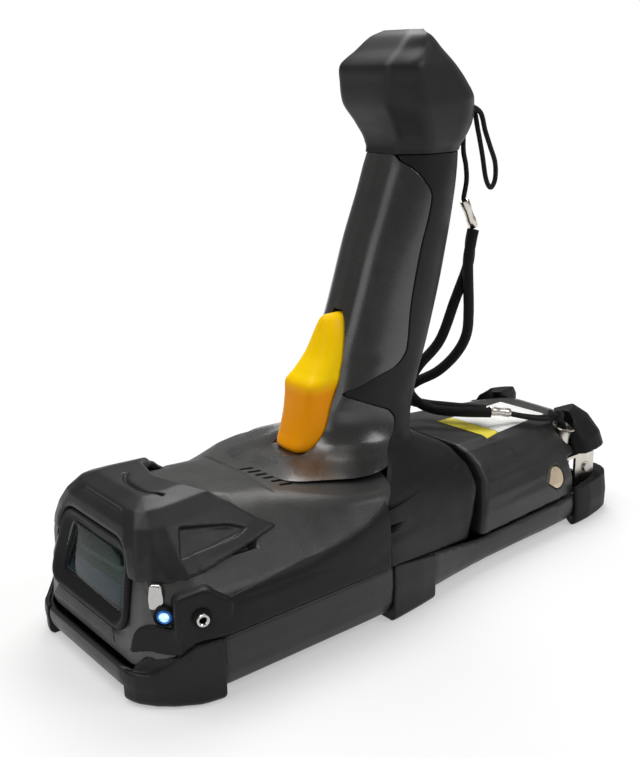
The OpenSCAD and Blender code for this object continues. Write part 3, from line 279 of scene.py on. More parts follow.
def addStudio(s):
    sheet, h = bpy.data.meshes.new("floor"), s["half"]
    sheet.from_pydata([(-h, -h, 0), (h, -h, 0), (h, h, 0), (-h, h, 0)], [], [(0, 1, 2, 3)])
    floor = added("floor", sheet)
    mat = bpy.data.materials.new("floorPaper")
    mat.use_nodes = True
    mat.node_tree.nodes.clear()
    t = Nodes(mat.node_tree)
    paper = t.node("BsdfDiffuse", Color=(*grey(s["floorTone"]), 1))
    path = t.node("LightPath").outputs
    seen = t.maths("MAXIMUM", path["Is Camera Ray"], path["Is Glossy Ray"])
    seen = t.maths("MAXIMUM", seen, path["Is Transmission Ray"])
    # The glow takes over far from the object, so the paper has no edge
    far = t.node("VectorMath", operation="LENGTH")
    t.feed(far.inputs[0], t.node("TexCoord").outputs["Object"])
    share = t.maths("MULTIPLY", seen, t.span(far.outputs["Value"], s["glow"], 1.0, *s["fade"]))
    mix = t.node("MixShader", Fac=share)
    t.feed(mix.inputs[1], paper.outputs[0])
    t.feed(mix.inputs[2], t.node("Emission").outputs[0])
    t.node("OutputMaterial", Surface=mix.outputs[0])
    sheet.materials.append(mat)
    world = bpy.data.worlds.new("studio")
    bpy.context.scene.world = world
    world.use_nodes = True
    t = Nodes(world.node_tree)
    path = t.node("LightPath").outputs
    seen = t.maths("MAXIMUM", path["Is Camera Ray"], path["Is Transmission Ray"])
    back = t.tree.nodes["Background"]
    back.inputs["Color"].default_value = (1, 1, 1, 1)
    t.feed(back.inputs["Strength"], t.span(seen, s["world"], 1.0, 0.0, 1.0))
    for lamp in s["lamps"]:
        addLamp(*lamp)


addStudio(studioSet)
print("studio made")

# Surfaces from tables of rows


def tableAt(rows, t):
    # Cubic through the rows; each slope is the harmonic mean of its neighbours', so nothing overshoots
    k = np.array(rows, float)
    k = k[np.argsort(k[:, 0])]
    x, y = k[:, 0], k[:, 1:]
    d = np.diff(y, axis=0) / np.diff(x)[:, None]
    m = np.zeros_like(y)
    m[0], m[-1] = d[0], d[-1]
    both = d[:-1] * d[1:]
    total = d[:-1] + d[1:]
    m[1:-1] = np.where(both > 0, 2 * both / np.where(total == 0, 1, total), 0)
    t = np.atleast_1d(np.asarray(t, float))
    i = np.clip(np.searchsorted(x, t, side="right") - 1, 0, len(x) - 2)
    h = (x[i + 1] - x[i])[:, None]
    s = np.clip((t - x[i])[:, None] / h, 0, 1)
    return (
        y[i] * (2 * s**3 - 3 * s**2 + 1)
        + m[i] * h * (s**3 - 2 * s**2 + s)
        + y[i + 1] * (3 * s**2 - 2 * s**3)
        + m[i + 1] * h * (s**3 - s**2)
    )


def rounded(corners, radii, arc=8, seg=5):
    # Open chains (rows, corners, 2): each inner corner becomes a parabola between points r from it
    c = np.asarray(corners, float)
    parts, last = [], c[:, :1]
    for i in range(1, c.shape[1] - 1):
        def towards(j):
            v = c[:, j] - c[:, i]
            n = np.maximum(np.linalg.norm(v, axis=1, keepdims=True), 1e-9)
            return (c[:, i] + v * np.minimum(radii[i - 1] / n, 0.48))[:, None]
        a, b = towards(i - 1), towards(i + 1)
        s = np.linspace(0, 1, seg + 1)[None, :-1, None]
        t = np.linspace(0, 1, arc + 1)[None, :-1, None]
        parts += [last + (a - last) * s, a * (1 - t) ** 2 + 2 * c[:, i : i + 1] * t * (1 - t) + b * t**2]
        last = b
    s = np.linspace(0, 1, seg + 1)[None, :, None]
    parts.append(last + (c[:, -1:] - last) * s)
    return np.concatenate(parts, axis=1)


def stack(*columns):
    # Points (rows, k, 2) from k pairs of column values
    rows = max(np.size(v) for pair in columns for v in pair)
    full = lambda v: np.broadcast_to(np.asarray(v, float), (rows,)) if np.size(v) > 1 else np.full(rows, float(v))
    return np.stack([np.stack([full(a), full(b)], axis=1) for a, b in columns], axis=1)


def runs(p):
    # Distance along each row of points, from 0
    d = np.linalg.norm(np.diff(p, axis=-2), axis=-1)
    return np.concatenate([np.zeros(d.shape[:-1] + (1,)), np.cumsum(d, axis=-1)], axis=-1)


def along(p, s):
    # Points of chain p at distances s
    r = runs(p)
    return np.stack([np.interp(s, r, p[:, i]) for i in range(p.shape[1])], axis=1)


def outward(p):
    # Unit normals of a plane chain that runs with the outside on its right hand
    t = np.gradient(p, axis=0)
    n = np.stack([t[:, 1], -t[:, 0]], axis=1)
    return n / np.maximum(np.linalg.norm(n, axis=1, keepdims=True), 1e-9)


def sunk(q, r):
    # How far an edge rounded by r lies under the surface at distance q from its end
    x = np.clip(r - q, 0, r)
    return r - np.sqrt(np.maximum(r * r - x * x, 0))


def shaded(me, sharp):
    me.shade_smooth()
    me.set_sharp_from_angle(angle=math.radians(sharp))


def gridMesh(name, grid, ends="ladder", sharp=38.0):
    # Quads over a grid of rings in millimetres; a ladder closes each end between points i and n - 1 - i
    m, n = grid.shape[:2]
    j, i = np.arange(m - 1)[:, None], np.arange(n)[None, :]
    a, b = j * n + i, j * n + (i + 1) % n
    faces = np.stack([a, b, b + n, a + n], axis=-1).reshape(-1, 4)
    if ends == "ladder":
        k = np.arange(n // 2 - 1)
        rung = np.stack([k, n - 1 - k, n - 2 - k, k + 1], axis=1)
        faces = np.concatenate([faces, rung, (m - 1) * n + rung[:, ::-1]])
    faces = faces.tolist()
    if ends == "fan":
        faces += [list(range(n))[::-1], list(range((m - 1) * n, m * n))]
    me = bpy.data.meshes.new(name)
    me.from_pydata((grid.reshape(-1, 3) * mm).tolist(), [], faces)
    return finished(name, me, sharp, merge=ends is None)


def finished(name, me, sharp=38.0, merge=True):
    # Merges doubles, turns the faces outward and shades them smooth up to the sharp angle
    bm = bmesh.new()
    bm.from_mesh(me)
    if merge:
        bmesh.ops.remove_doubles(bm, verts=bm.verts, dist=2e-6)
    bmesh.ops.recalc_face_normals(bm, faces=bm.faces)
    if bm.calc_volume(signed=True) < 0:
        bmesh.ops.reverse_faces(bm, faces=bm.faces)
    bm.to_mesh(me)
    bm.free()
    shaded(me, sharp)
    return added(name, me)


def place(obj, finish, body="body", stands=(), slot=None):
    obj.data.materials.clear()
    obj.data.materials.append(finishes[finish])
    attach(obj, body)
    if stands:
        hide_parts(*stands)


def mirrored(p):
    # A half ring from the front centre to the rear centre, made whole
    flip = p[..., ::-1, :] * np.array([-1, 1])
    return np.concatenate([p, flip[..., 1:-1, :]], axis=-2)


def withZ(p, z):
    return np.concatenate([p, np.broadcast_to(np.asarray(z, float)[..., None], p.shape[:-1] + (1,))], axis=-1)


def denser(a, b, n, edge):
    # n values from a to b, packed towards both ends over the distance edge
    t = np.linspace(0, 1, n)
    e = min(edge / max(b - a, 1e-6), 0.3)
    x = np.interp(t, [0, 0.22, 0.78, 1], [0, e, 1 - e, 1])
    return a + (b - a) * x


def skinLines(chains, zs, sa, sb, thick, edge, endEdge, n):
    # Outer and inner lines of a skin on the chains, from run sa to run sb of each. The outer line sinks by a
    # quarter circle at the edge by sa and at the end rows; the inner line lies thick under the chain.
    lines = [], []
    for k, chain in enumerate(chains):
        s = denser(sa[k], sb[k], n, edge)
        p = along(chain, s)
        normal = outward(p)
        end = min(zs[k] - zs[0], zs[-1] - zs[k])
        down = np.minimum(sunk(s - sa[k], edge) + sunk(end, endEdge), thick * 0.8)
        lines[0].append(p - normal * down[:, None])
        lines[1].append(p - normal * thick)
    return [withZ(np.array(rows), zs[:, None]) for rows in lines]


def bothSides(grid):
    return grid * np.array([-1, 1, 1])


# Joins the outer and inner lines of a skin into closed rings, mirrored at the front or rear centre
def closeSkin(outer, inner, centre):
    flip = lambda g: bothSides(g)[:, ::-1]
    if centre == "front":
        outer, inner = [np.concatenate([flip(g)[:, :-1], g], axis=1) for g in (outer, inner)]
    else:
        outer, inner = [np.concatenate([g, flip(g)[:, 1:]], axis=1) for g in (outer, inner)]
    return np.concatenate([outer, inner[:, ::-1]], axis=1)


def modify(obj, kind, **values):
    m = obj.modifiers.new(kind.lower(), kind)
    for key, value in values.items():
        setattr(m, key, value)
    return obj


# The mesh of obj with all its modifiers applied
def applied(obj, sharp=38.0):
    deps = bpy.context.evaluated_depsgraph_get()
    me = bpy.data.meshes.new_from_object(obj.evaluated_get(deps))
    name = obj.name
    old = obj.data
    bpy.data.objects.remove(obj)
    bpy.data.meshes.remove(old)
    return finished(name, me, sharp)


def cut(obj, *cutters, how="DIFFERENCE"):
    for c in cutters:
        modify(obj, "BOOLEAN", operation=how, solver="EXACT", object=c)
    obj = applied(obj)
    for c in cutters:
        bpy.data.objects.remove(c)
    return obj


# Softens every edge of a closed piece, as a moulding has them: voxels of that size, then even smoothing
def moulded(obj, voxel, passes):
    modify(obj, "REMESH", mode="VOXEL", voxel_size=voxel * mm, use_smooth_shade=True)
    return applied(modify(obj, "SMOOTH", factor=0.5, iterations=passes), sharp=60.0)


def cadCopy(node, name):
    return finished(name, nodes[node].data.copy())


def moved(p, frame4):
    m = np.array(frame4)
    return p @ m[:3, :3].T + m[:3, 3]


# A closed solid between two rings of points
def between(name, low, high):
    n = len(low)
    faces = [list(range(n))[::-1], list(range(n, 2 * n))]
    faces += [[i, (i + 1) % n, n + (i + 1) % n, n + i] for i in range(n)]
    me = bpy.data.meshes.new(name)
    me.from_pydata((np.concatenate([low, high]) * mm).tolist(), [], faces)
    return finished(name, me)


# A prism over a plane outline (points, 2), from z0 to z1 in a frame
def prism(name, outline, z0, z1, frame4):
    p = np.asarray(outline, float)
    return between(name, *[moved(withZ(p, z), frame4) for z in (z0, z1)])


# Closed outline through corners, each rounded by r
def softOutline(corners, r, arc=6):
    c = np.asarray(corners, float)
    c = np.concatenate([[(c[0] + c[-1]) / 2], c, [(c[0] + c[-1]) / 2]])
    return rounded(c[None], [np.array([[v]]) for v in np.broadcast_to(r, (len(c) - 2,))], arc, 1)[0][:-1]


# Grip, from the deck to the neck
neckTop = 152.0
deckZ = 50.0
gripShape = {
    "lean": 16.5,
    "crown": 0.8,
    # share of the height: distances to the front and rear, half widths at the front edge, the side, the
    # rear side and the rear edge, runs of the front and rear corners
    "rows": [
        [0, 53.5, 9, 18.5, 34, 24, 13, 24, 12],
        [0.025, 41, 9.2, 14, 27, 21.5, 12, 18, 11.5],
        [0.06, 35.5, 9.3, 11, 21.5, 19.5, 11, 15, 11],
        [0.11, 33.5, 9, 9.5, 18.8, 18, 10, 12, 10],
        [0.17, 32.8, 8.8, 10.5, 17.4, 17.2, 10, 9.5, 10],
        [0.22, 31.8, 9, 11.5, 16.8, 16.8, 10, 8.5, 10],
        [0.29, 30.8, 9.6, 10.5, 16.4, 16.4, 10, 10, 10],
        [0.35, 30.2, 10, 9, 16.3, 16.3, 10, 11, 10],
        [0.5, 28.8, 10.2, 9, 16, 16, 10, 11, 10],
        [0.7, 27.8, 9.3, 9, 16, 16, 10, 11, 10],
        [0.86, 26, 7.8, 9, 15.8, 15.8, 10, 11, 10],
        [0.95, 25.2, 6.4, 9, 15.4, 15.4, 9.5, 10, 9],
        [1, 24.8, 5.6, 8.5, 15, 15, 9, 9.5, 9],
    ],
    "radii": [6, 9, 9, 8],
    # height, Y where the rubber starts
    "rubber": [
        [11, -24], [33, -25], [39, -26.5], [43, -23.5], [45.7, -20], [48, -14.5], [50, -11], [52.5, -7],
        [57.4, 0.8], [61, 2.2], [64, 0.5], [67.5, -6.5], [70.5, -13.5], [72.3, -16.6], [73.2, -15.5],
        [75, -10.5], [77.5, -3.5], [79.5, 4], [82, 7.8], [85, 9.9], [100, 12], [121, 17], [131, 20.5],
        [138, 22], [143.5, 19], [147.5, 15.5], [150, 12.8], [152, 12.4],
    ],
    # rubber's gap, wall of the insert and its edge, half of the plain front, foot, top and depth of the slot
    "groove": 0.35, "wall": 3.0, "edge": 0.5, "front": 4.0, "slot": (52.3, 99.45, 15.0),
}


def leanY(z):
    # Y of the grip's middle line: it leans back by a fixed angle from the deck
    return 6.5 + (z - deckZ) * math.tan(math.radians(gripShape["lean"]))


def handleCorners(c, y, crown=0):
    # Six corners of a half ring about the middle line y: front centre, front edge, side, rear side, rear edge and
    # rear centre, which stand out by the crown
    return stack(
        (0, y - c[0] - crown), (c[2], y - c[0]), (c[3], y - c[0] + c[6]), (c[4], y + c[1] - c[7]),
        (c[5], y + c[1]), (0, y + c[1] + crown),
    )


def gripChain(z):
    # Half ring of the grip: six corners from the table by height, rounded
    c = tableAt(gripShape["rows"], np.clip((z - deckZ) / (neckTop - deckZ), 0, 1)).T
    corners = handleCorners(c, leanY(z), gripShape["crown"])
    return rounded(corners, gripShape["radii"])


# Waist, from the seam to the deck
waistShape = {
    # height, half widths at the head, at the waist and at the rear, Y of the rear
    "rows": [
        [11, 45, 38.2, 35.8, 24.5],
        [21, 45, 38.2, 35.4, 27.8],
        [26, 45, 37.6, 34.8, 29.5],
        [32, 44.2, 36.6, 33, 32],
        [38, 43, 34.5, 29.5, 31.5],
        [43, 41.5, 31.5, 24.5, 29.2],
        [47, 39, 28.5, 20, 27.8],
        [53, 34, 24, 15, 26.5],
    ],
    # lowest row, heights where it blends into the grip, height above which the rows are level
    "foot": 13.2, "blend": (44, 53), "level": 32,
    # Y and Z of the seam's two ends, gap over it, skin's thickness, free edge and end edge, points across
    "seam": ([-19.5, 26.5], [21, 13]), "gap": 0.15, "skin": (1.7, 0.55, 0.4, 90),
}


def waistChain(z):
    # Half ring of the waist: six corners from the table by height, rounded
    c = tableAt(waistShape["rows"], z).T
    corners = stack((0, -25.8), (c[0], -25), (c[0], -19.5), (c[1], 13.5), (c[2], c[3]), (0, c[3] + 0.8))
    return rounded(corners, [0.1, 10, 12, 6])


# Distance along each chain where it first reaches y behind its front edge
def runWhere(chains, ys):
    out = []
    for chain, y in zip(chains, ys):
        r = runs(chain)
        first = int(np.argmin(chain[:, 1]))
        out.append(np.interp(y, np.maximum.accumulate(chain[first:, 1]), r[first:]))
    return np.array(out)


def rubberY(z):
    # Y where the rubber starts at each height
    return tableAt(gripShape["rubber"], z)[:, 0]


gripLevels = np.unique(np.concatenate([
    np.linspace(deckZ, 58, 22), np.linspace(58, 66, 20), np.linspace(66, 82, 70), np.linspace(82, 136, 40),
    np.linspace(136, 151.9, 46),
]))

triggerShape = {
    # share of the height, Y of the front, half widths of the front and of the body, radius of the edge
    "rows": [
        [0, -31, 4.5, 6.5, 2], [0.05, -33, 6, 8.4, 2.4], [0.14, -31.5, 6.5, 9, 2.4], [0.28, -29.6, 6.5, 9, 2.4],
        [0.42, -28.4, 6.8, 9, 2.2], [0.51, -27.8, 7, 9, 1.2], [0.6, -24.6, 5.5, 8.3, 2], [0.72, -20.4, 4.5, 7.2, 2],
        [0.86, -17.5, 3.5, 5.6, 2], [0.96, -15.8, 2, 3.6, 1.5], [1, -14.4, 1, 2, 1],
    ],
    # foot, height, gap round it in the slot, share of the height that rounds each end, slope of the back
    "foot": 51.5, "height": 47, "gap": 0.5, "ends": 0.03, "slope": 1.2,
}


def slotWidth(z):
    # Half the width of the trigger's slot: the trigger's own and a gap
    t = triggerShape
    return tableAt(t["rows"], np.clip((z - t["foot"]) / t["height"], 0, 1))[:, 2] + t["gap"]


def makeGrip():
    # Insert: the grip's chains up to the rubber, pushed back in the trigger's slot, with a wall behind them
    g, w = gripShape, waistShape
    foot, top, depth = g["slot"]
    levels = np.unique(np.concatenate([gripLevels, [top - 0.05, top + 0.05]]))
    chains = gripChain(levels)
    edge = runWhere(chains, rubberY(levels) - g["groove"])
    slot = (levels < top) & (levels > foot)
    half = np.where(slot, slotWidth(levels), g["front"])
    lines = [], []
    for k, chain in enumerate(chains):
        # The run where the chain reaches the side of the slot
        far = int(np.argmax(chain[:, 0]))
        atSlot = np.interp(half[k], chain[:far, 0], runs(chain)[:far])
        s = np.concatenate([np.linspace(0, atSlot, 12), denser(atSlot + 0.02, edge[k], 60, g["edge"])])
        p = along(chain, s)
        q = outward(p)
        for rows, line in zip(lines, (p - q * sunk(edge[k] - s, g["edge"])[:, None], p - q * g["wall"])):
            line[:12, 1] += depth * slot[k]
            rows.append(line)
    outer, inner = [withZ(np.array(rows), levels[:, None]) for rows in lines]
    core = gridMesh("gripInsert", closeSkin(outer, inner, "front"))
    place(core, "insert", stands=["grip_core"], slot="insert")

    # Rubber: the waist's chains blend into the grip's, and the low rows are squeezed onto the seam
    foot, level, (low, high) = w["foot"], w["level"], w["blend"]
    levels = np.concatenate([np.linspace(foot, 46, 50), np.linspace(46.4, 54, 24), gripLevels[gripLevels > 54.2]])
    k = np.clip((levels - low) / (high - low), 0, 1)
    k = (k * k * (3 - 2 * k))[:, None, None]
    chains = gripChain(np.maximum(levels, deckZ)) * k + waistChain(np.minimum(levels, high)) * (1 - k)
    lines = skinLines(chains, levels, runWhere(chains, rubberY(levels)), runs(chains)[:, -1], *w["skin"])
    seam = np.interp(lines[0][..., 1], *w["seam"]) + w["gap"]
    for line in lines:
        z = line[..., 2]
        line[..., 2] = np.where(z < level, seam + (z - foot) * (level - seam) / (level - foot), z)
    skin = gridMesh("gripRubber", closeSkin(*lines, "rear"))
    place(skin, "grip", stands=["grip_overmould"], slot="rubber")
    print("grip made")


def makeTrigger():
    # Half rings by height: front edge and body from the table, and a flat back
    t = triggerShape
    k = np.concatenate([np.linspace(0, 0.02, 4), np.linspace(0.03, 0.97, 90), np.linspace(0.98, 1, 4)])
    zs = t["foot"] + t["height"] * k
    c = tableAt(t["rows"], k).T
    back = np.minimum(leanY(zs) - 18, -16 + (zs - t["foot"]) * t["slope"])
    # The tip and the foot close in a quarter circle
    near = (1 - np.minimum(k, 1 - k) / t["ends"]).clip(0)
    shrink = np.minimum(1, np.sqrt(np.clip(1 - near**2, 0.02, 1)))
    corners = stack(
        (0, c[0] - 0.5), (c[1] * shrink, c[0]), (c[2] * shrink, c[0] + 3.5), (c[2] * shrink, back), (0, back)
    )
    half = rounded(corners, [c[3][:, None], 3, 1], 8, 4)
    piece = gridMesh("triggerShoe", withZ(mirrored(half), zs[:, None]), sharp=50)
    place(piece, "yellow", "trigger", ["trigger"], "yellow")
    print("trigger made")


# Butt of the grip, with its facets
buttShape = {
    # height under the top: distances to the front and rear, half widths at the front edge, the side, the rear
    # side and the rear edge, runs of the front and rear corners
    "rows": [
        [41, 25.2, 6, 8, 15, 15, 9, 9, 9], [39.4, 25.3, 6.1, 8.2, 15.3, 15.3, 9.2, 9, 9],
        [36.9, 26, 6.6, 9, 16.5, 16.5, 10, 8, 9], [30.8, 31, 7.6, 10, 18.5, 18, 11, 8, 10],
        [23.4, 38, 6, 11.5, 20, 18.5, 11, 9, 11], [17.2, 40.5, 0.6, 12, 20, 18, 10.5, 9, 11],
        [11.9, 42, -6, 12.2, 19.5, 17.5, 10, 8, 10], [6.2, 37, -14, 11, 16.5, 15, 9, 8, 8],
        [2, 33, -20, 9.5, 13.5, 12.5, 8, 5, 5], [0, 29.5, -23.5, 7, 10, 9, 6, 4, 4],
    ],
    "top": 193,
}


def makeButt():
    # Half rings by height under the top: six corners from the table about the grip's middle line, rounded
    down = np.concatenate([np.linspace(0, 1.2, 8), np.linspace(1.5, 39.6, 110), np.linspace(39.8, 40.95, 8)])
    c = tableAt(buttShape["rows"], down).T
    z = buttShape["top"] - down
    half = rounded(handleCorners(c, leanY(z)), [2, 3, 4, 5], 8, 6)
    piece = gridMesh("buttCap", withZ(mirrored(half), z[:, None])[::-1], sharp=50)
    place(piece, "butt", stands=["butt_cap"], slot="rubber")
    print("butt made")


# A tube of one radius along a path of points (n, 3), with flat ends
def tube(name, path, radius, around):
    p = np.asarray(path, float)
    t = np.gradient(p, axis=0)
    t /= np.linalg.norm(t, axis=1, keepdims=True)
    side = np.cross(t, [0.21, 0.13, 0.97])
    side /= np.linalg.norm(side, axis=1, keepdims=True)
    up = np.cross(side, t)
    a = np.linspace(0, 2 * np.pi, around, endpoint=False)
    ring = np.cos(a)[None, :, None] * side[:, None] + np.sin(a)[None, :, None] * up[:, None]
    return gridMesh(name, p[:, None] + ring * radius, ends="fan")


def smoothPath(p, step=0.5):
    # Catmull-Rom curve through the points, at even steps
    p = np.asarray(p, float)
    q = np.concatenate([[2 * p[0] - p[1]], p, [2 * p[-1] - p[-2]]])
    t = np.linspace(0, 1, 24, endpoint=False)[None, :, None]
    a, b, c, d = q[:-3, None], q[1:-2, None], q[2:-1, None], q[3:, None]
    out = 0.5 * (2 * b + (c - a) * t + (2 * a - 5 * b + 4 * c - d) * t**2 + (3 * b - 3 * c + d - a) * t**3)
    out = np.concatenate([out.reshape(-1, 3), p[-1:]])
    r = runs(out)
    return along(out, np.linspace(0, r[-1], max(int(r[-1] / step), 4)))


# A box between two corners, with rounded edges if asked
def block(name, a, b, bevel=0.0):
    me = bpy.data.meshes.new(name)
    bm = bmesh.new()
    bmesh.ops.create_cube(bm, size=1.0)
    a, b = np.array(a, float), np.array(b, float)
    for v in bm.verts:
        v.co = Vector(((a + b) / 2 + np.array(v.co) * (b - a)) * mm)
    if bevel:
        bmesh.ops.bevel(bm, geom=bm.edges, offset=bevel * mm, segments=3, profile=0.5, affect="EDGES")
    bm.to_mesh(me)
    bm.free()
    return finished(name, me)


# A turned piece: rows of (distance along, radius) about an axis from a point in a direction. Rows that come back to
# the first one make a ring; others are closed with flat ends.
def turned(name, start, way, rows, around):
    ends = None if rows[0] == rows[-1] else "fan"
    rows = np.array(rows, float)
    w = np.array(way, float) / np.linalg.norm(way)
    side = np.cross(w, [0.3, 0.2, 0.93])
    side /= np.linalg.norm(side)
    up = np.cross(side, w)
    a = np.linspace(0, 2 * np.pi, around, endpoint=False)
    ring = np.cos(a)[:, None] * side + np.sin(a)[:, None] * up
    grid = np.array(start, float) + rows[:, None, :1] * w + rows[:, None, 1:] * ring[None]
    return gridMesh(name, grid, ends=ends)


# Joins pieces of one finish into one object
def joined(name, *parts):
    bm = bmesh.new()
    for obj in parts:
        bm.from_mesh(obj.data)
    for obj in parts:
        bpy.data.objects.remove(obj)
    me = bpy.data.meshes.new(name)
    bm.to_mesh(me)
    bm.free()
    shaded(me, 40)
    return added(name, me)


# Head: lofted from the nose to the waist, so the roof, its ridge and the shoulders follow the length
headShape = {
    # distance along Y; height of the crown; x and height of the deck edge, the ridge, the shoulder and the side
    "roof": [
        [-107.5, 55, 9, 55, 16, 54.6, 25, 45, 31.5, 36], [-97, 55, 10, 55, 18, 54.2, 31, 45, 41, 35],
        [-88, 54.2, 10, 54.1, 19, 53.2, 31.5, 44, 43, 33.5], [-75, 52.9, 10, 52.8, 19.5, 52, 32, 43.2, 43.3, 33.2],
        [-60, 51.2, 10, 51.2, 21, 50.4, 32.6, 42.6, 43.3, 33],
        [-54, 50.6, 11.5, 50.4, 24.5, 49.6, 34.2, 42.4, 43.4, 33.7],
        [-45, 50.3, 16, 49.9, 31.5, 48.0, 38.4, 41.7, 43.6, 35.5],
        [-35, 50.3, 20, 49.8, 37.5, 47, 41.5, 41.5, 44, 37.5],
        [-24, 50.3, 22, 49.8, 40, 46.6, 42.8, 42, 43.6, 39.5], [-14, 50.1, 22, 49.6, 38.5, 46.2, 41.6, 42, 42.6, 38.5],
        [-8, 50, 22, 49.5, 37, 46, 40.5, 42, 41.4, 38],
    ],
    # height of the low corners, Y and run over which the ridges sharpen
    "low": 24, "soft": (-66, 26),
    # crease in front of the vents: Y, half width, depth
    "crease": (-54.2, 0.7, 0.42),
    # under the hood's wings: Y and run of the step, x and run across, least height, drop, share inwards
    "wing": (-70, 3, 14, 7, 41, 2.0, 1.8),
    # under the waist's rubber: gap, run, depth, x and run across, least height of the drop
    "tuck": (0.3, 1.0, 2.2, 12, 10, 40),
    "front": [[-150, 0], [-111.5, 0], [-111.2, 21], [-103.8, 58], [-103, 62], [-150, 62]],
    # outline and turn of a vent, place of the first one and step to the next
    "vent": [(-0.75, -0.2), (0.75, -0.2), (0.75, 4.9), (-0.75, 4.9)], "ventTurn": -14,
    "ventAt": (-52.9, 50), "ventStep": (3.6, 0.65),
}
noseSet = {
    "lean": 13.0, "origin": (0, -109.0, 34.0),
    # half width, half height, taper and corner radius of the window
    "window": (20.5, 9.0, 4.0, 3.0),
    # section of the gasket: growth of the window's outline and height over its plane
    "gasket": [
        (4.7, 0.3), (4.8, 1.0), (4.3, 1.7), (3.6, 2.0), (2.6, 1.7), (1.7, 0.9), (0.4, -0.2), (-0.6, -0.6), (-1.0, -0.8),
        (-1.1, -1.1), (-0.6, -1.3), (2.0, -0.6), (4.2, 0.1),
    ],
    "wall": ((-50, -116, 9), (50, -101.5, 50)), "pane": (-0.15, -1.45, -0.05), "paneEdge": 0.2, "ribRadius": 0.3,
}
turnYZ = Matrix(((0, 0, 1, 0), (1, 0, 0, 0), (0, 1, 0, 0), (0, 0, 0, 1)))
noseFrame = Matrix.Translation(noseSet["origin"]) @ Matrix.Rotation(math.radians(90 - noseSet["lean"]), 4, "X")


def windowOutline(g):
    # Trapezium of the window, narrower at the top, with round corners, grown by g
    w, h, taper, r = noseSet["window"]
    w, h = w + g, h + g
    return softOutline([(-w, -h), (w, -h), (w - taper, h), (taper - w, h)], r + g, 8)


def roofChain(y):
    # Half section of the head at Y: crown, deck edge, ridge, shoulder and side from the table, rounded
    c, low = tableAt(headShape["roof"], y).T, headShape["low"]
    a, run = headShape["soft"]
    soft = np.clip((np.asarray(y) - a) / run, 0, 1)[:, None]
    corners = stack(
        (0, c[0]), (c[1], c[2]), (c[3], c[4]), (c[5], c[6]), (c[7], c[8]), (c[7] + 0.6, (c[8] + low) / 2),
        (c[7] + 0.4, low),
    )
    return rounded(corners, [10 - 2 * soft, 10 - 6.5 * soft, 8, 3, 4], 10, 4)


def makeHead():
    # Half sections along the length, less a bell-shaped crease and the steps under hood and rubber, mirrored
    h = headShape
    ys = np.concatenate([np.linspace(-107.5, -58, 70), np.linspace(-57.5, -50, 26), np.linspace(-49.5, -8, 90)])
    chain = roofChain(ys)
    at, half, deep = h["crease"]
    chain[..., 1] -= deep * np.exp(-(((ys - at) / half) ** 2))[:, None] * np.clip((22 - chain[..., 0]) / 4, 0, 1)
    outer = np.stack([chain[..., 0], np.broadcast_to(ys[:, None], chain.shape[:2]), chain[..., 1]], axis=-1)
    # The wings of the hood lie on the head, so it steps down under them
    at, run, x, xRun, least, drop, share = h["wing"]
    under = np.clip((at - ys) / run, 0, 1)[:, None] * np.clip((outer[..., 0] - x) / xRun, 0, 1)
    under = under * (outer[..., 2] > least)
    outer[..., 2] -= drop * under
    outer[..., 0] -= share * under * np.clip(outer[..., 0] / 20, 0, 1)
    # It also steps in under the rubber of the waist
    gap, run, deep, x, xRun, least = h["tuck"]
    start = rubberY(outer[..., 2].ravel()).reshape(outer.shape[:2]) + gap
    step = deep * np.clip((outer[..., 1] - start) / run, 0, 1) * np.clip((outer[..., 0] - x) / xRun, 0, 1)
    outer[..., 0] -= step
    outer[..., 2] -= step * (outer[..., 2] > least)
    inner = outer * np.array([0.94, 1, 1]) - np.array([0, 0, 2.2])
    inner[:, -1] = outer[:, -1] - np.array([2.4, 0, 0])
    skin = gridMesh("headSkin", closeSkin(outer, inner, "front"))
    # The front is cut to the slope of the nose
    front = prism("frontCut", h["front"], -60, 60, turnYZ)
    hole = prism("windowCut", windowOutline(1.0), -14, 12, noseFrame)
    turn = Matrix.Rotation(math.radians(h["ventTurn"]), 4, "Z")
    (y, z), (dx, dy) = h["ventAt"], h["ventStep"]
    vents = [
        prism("vent", softOutline(h["vent"], 0.74), -6, 6, Matrix.Translation((dx * i, y + dy * i, z)) @ turn)
        for i in range(6)
    ]
    skin = cut(skin, front, hole)
    skin = cut(skin, *vents)
    place(skin, "shell", stands=["back_housing"], slot="shell_back")
    print("head made")


def makeNose():
    n = noseSet
    wall = moulded(cadCopy("back_housing", "noseWall"), 0.45, 4)
    wall = cut(wall, block("keep", *n["wall"]), how="INTERSECT")
    place(wall, "nose", slot="shell_back")

    # Gasket: an outer land, a sloping funnel and a thin lip against the glass
    rings = [moved(withZ(windowOutline(g), up), noseFrame) for g, up in n["gasket"]]
    ring = gridMesh("windowGasket", np.array(rings + rings[:1]), ends=None, sharp=70)
    place(ring, "gasket", stands=["window_gasket"], slot="rubber")
    grown, low, high = n["pane"]
    pane = prism("windowPane", windowOutline(grown), low, high, noseFrame)
    pane = applied(modify(pane, "BEVEL", width=n["paneEdge"] * mm, segments=2))
    place(pane, "glass", stands=["scan_window"], slot="glass")
    ribs = []
    for i in range(6):
        y = -14.9 - 0.62 * i
        p = moved(np.array([(-20.5 - 0.4 * i, y, 0.2), (16 + 0.4 * i, y, 0.2)]), noseFrame)
        ribs.append(tube("rib", p, n["ribRadius"], 10))
    place(joined("noseRibs", *ribs), "nose", slot="shell_back")
    print("nose made")


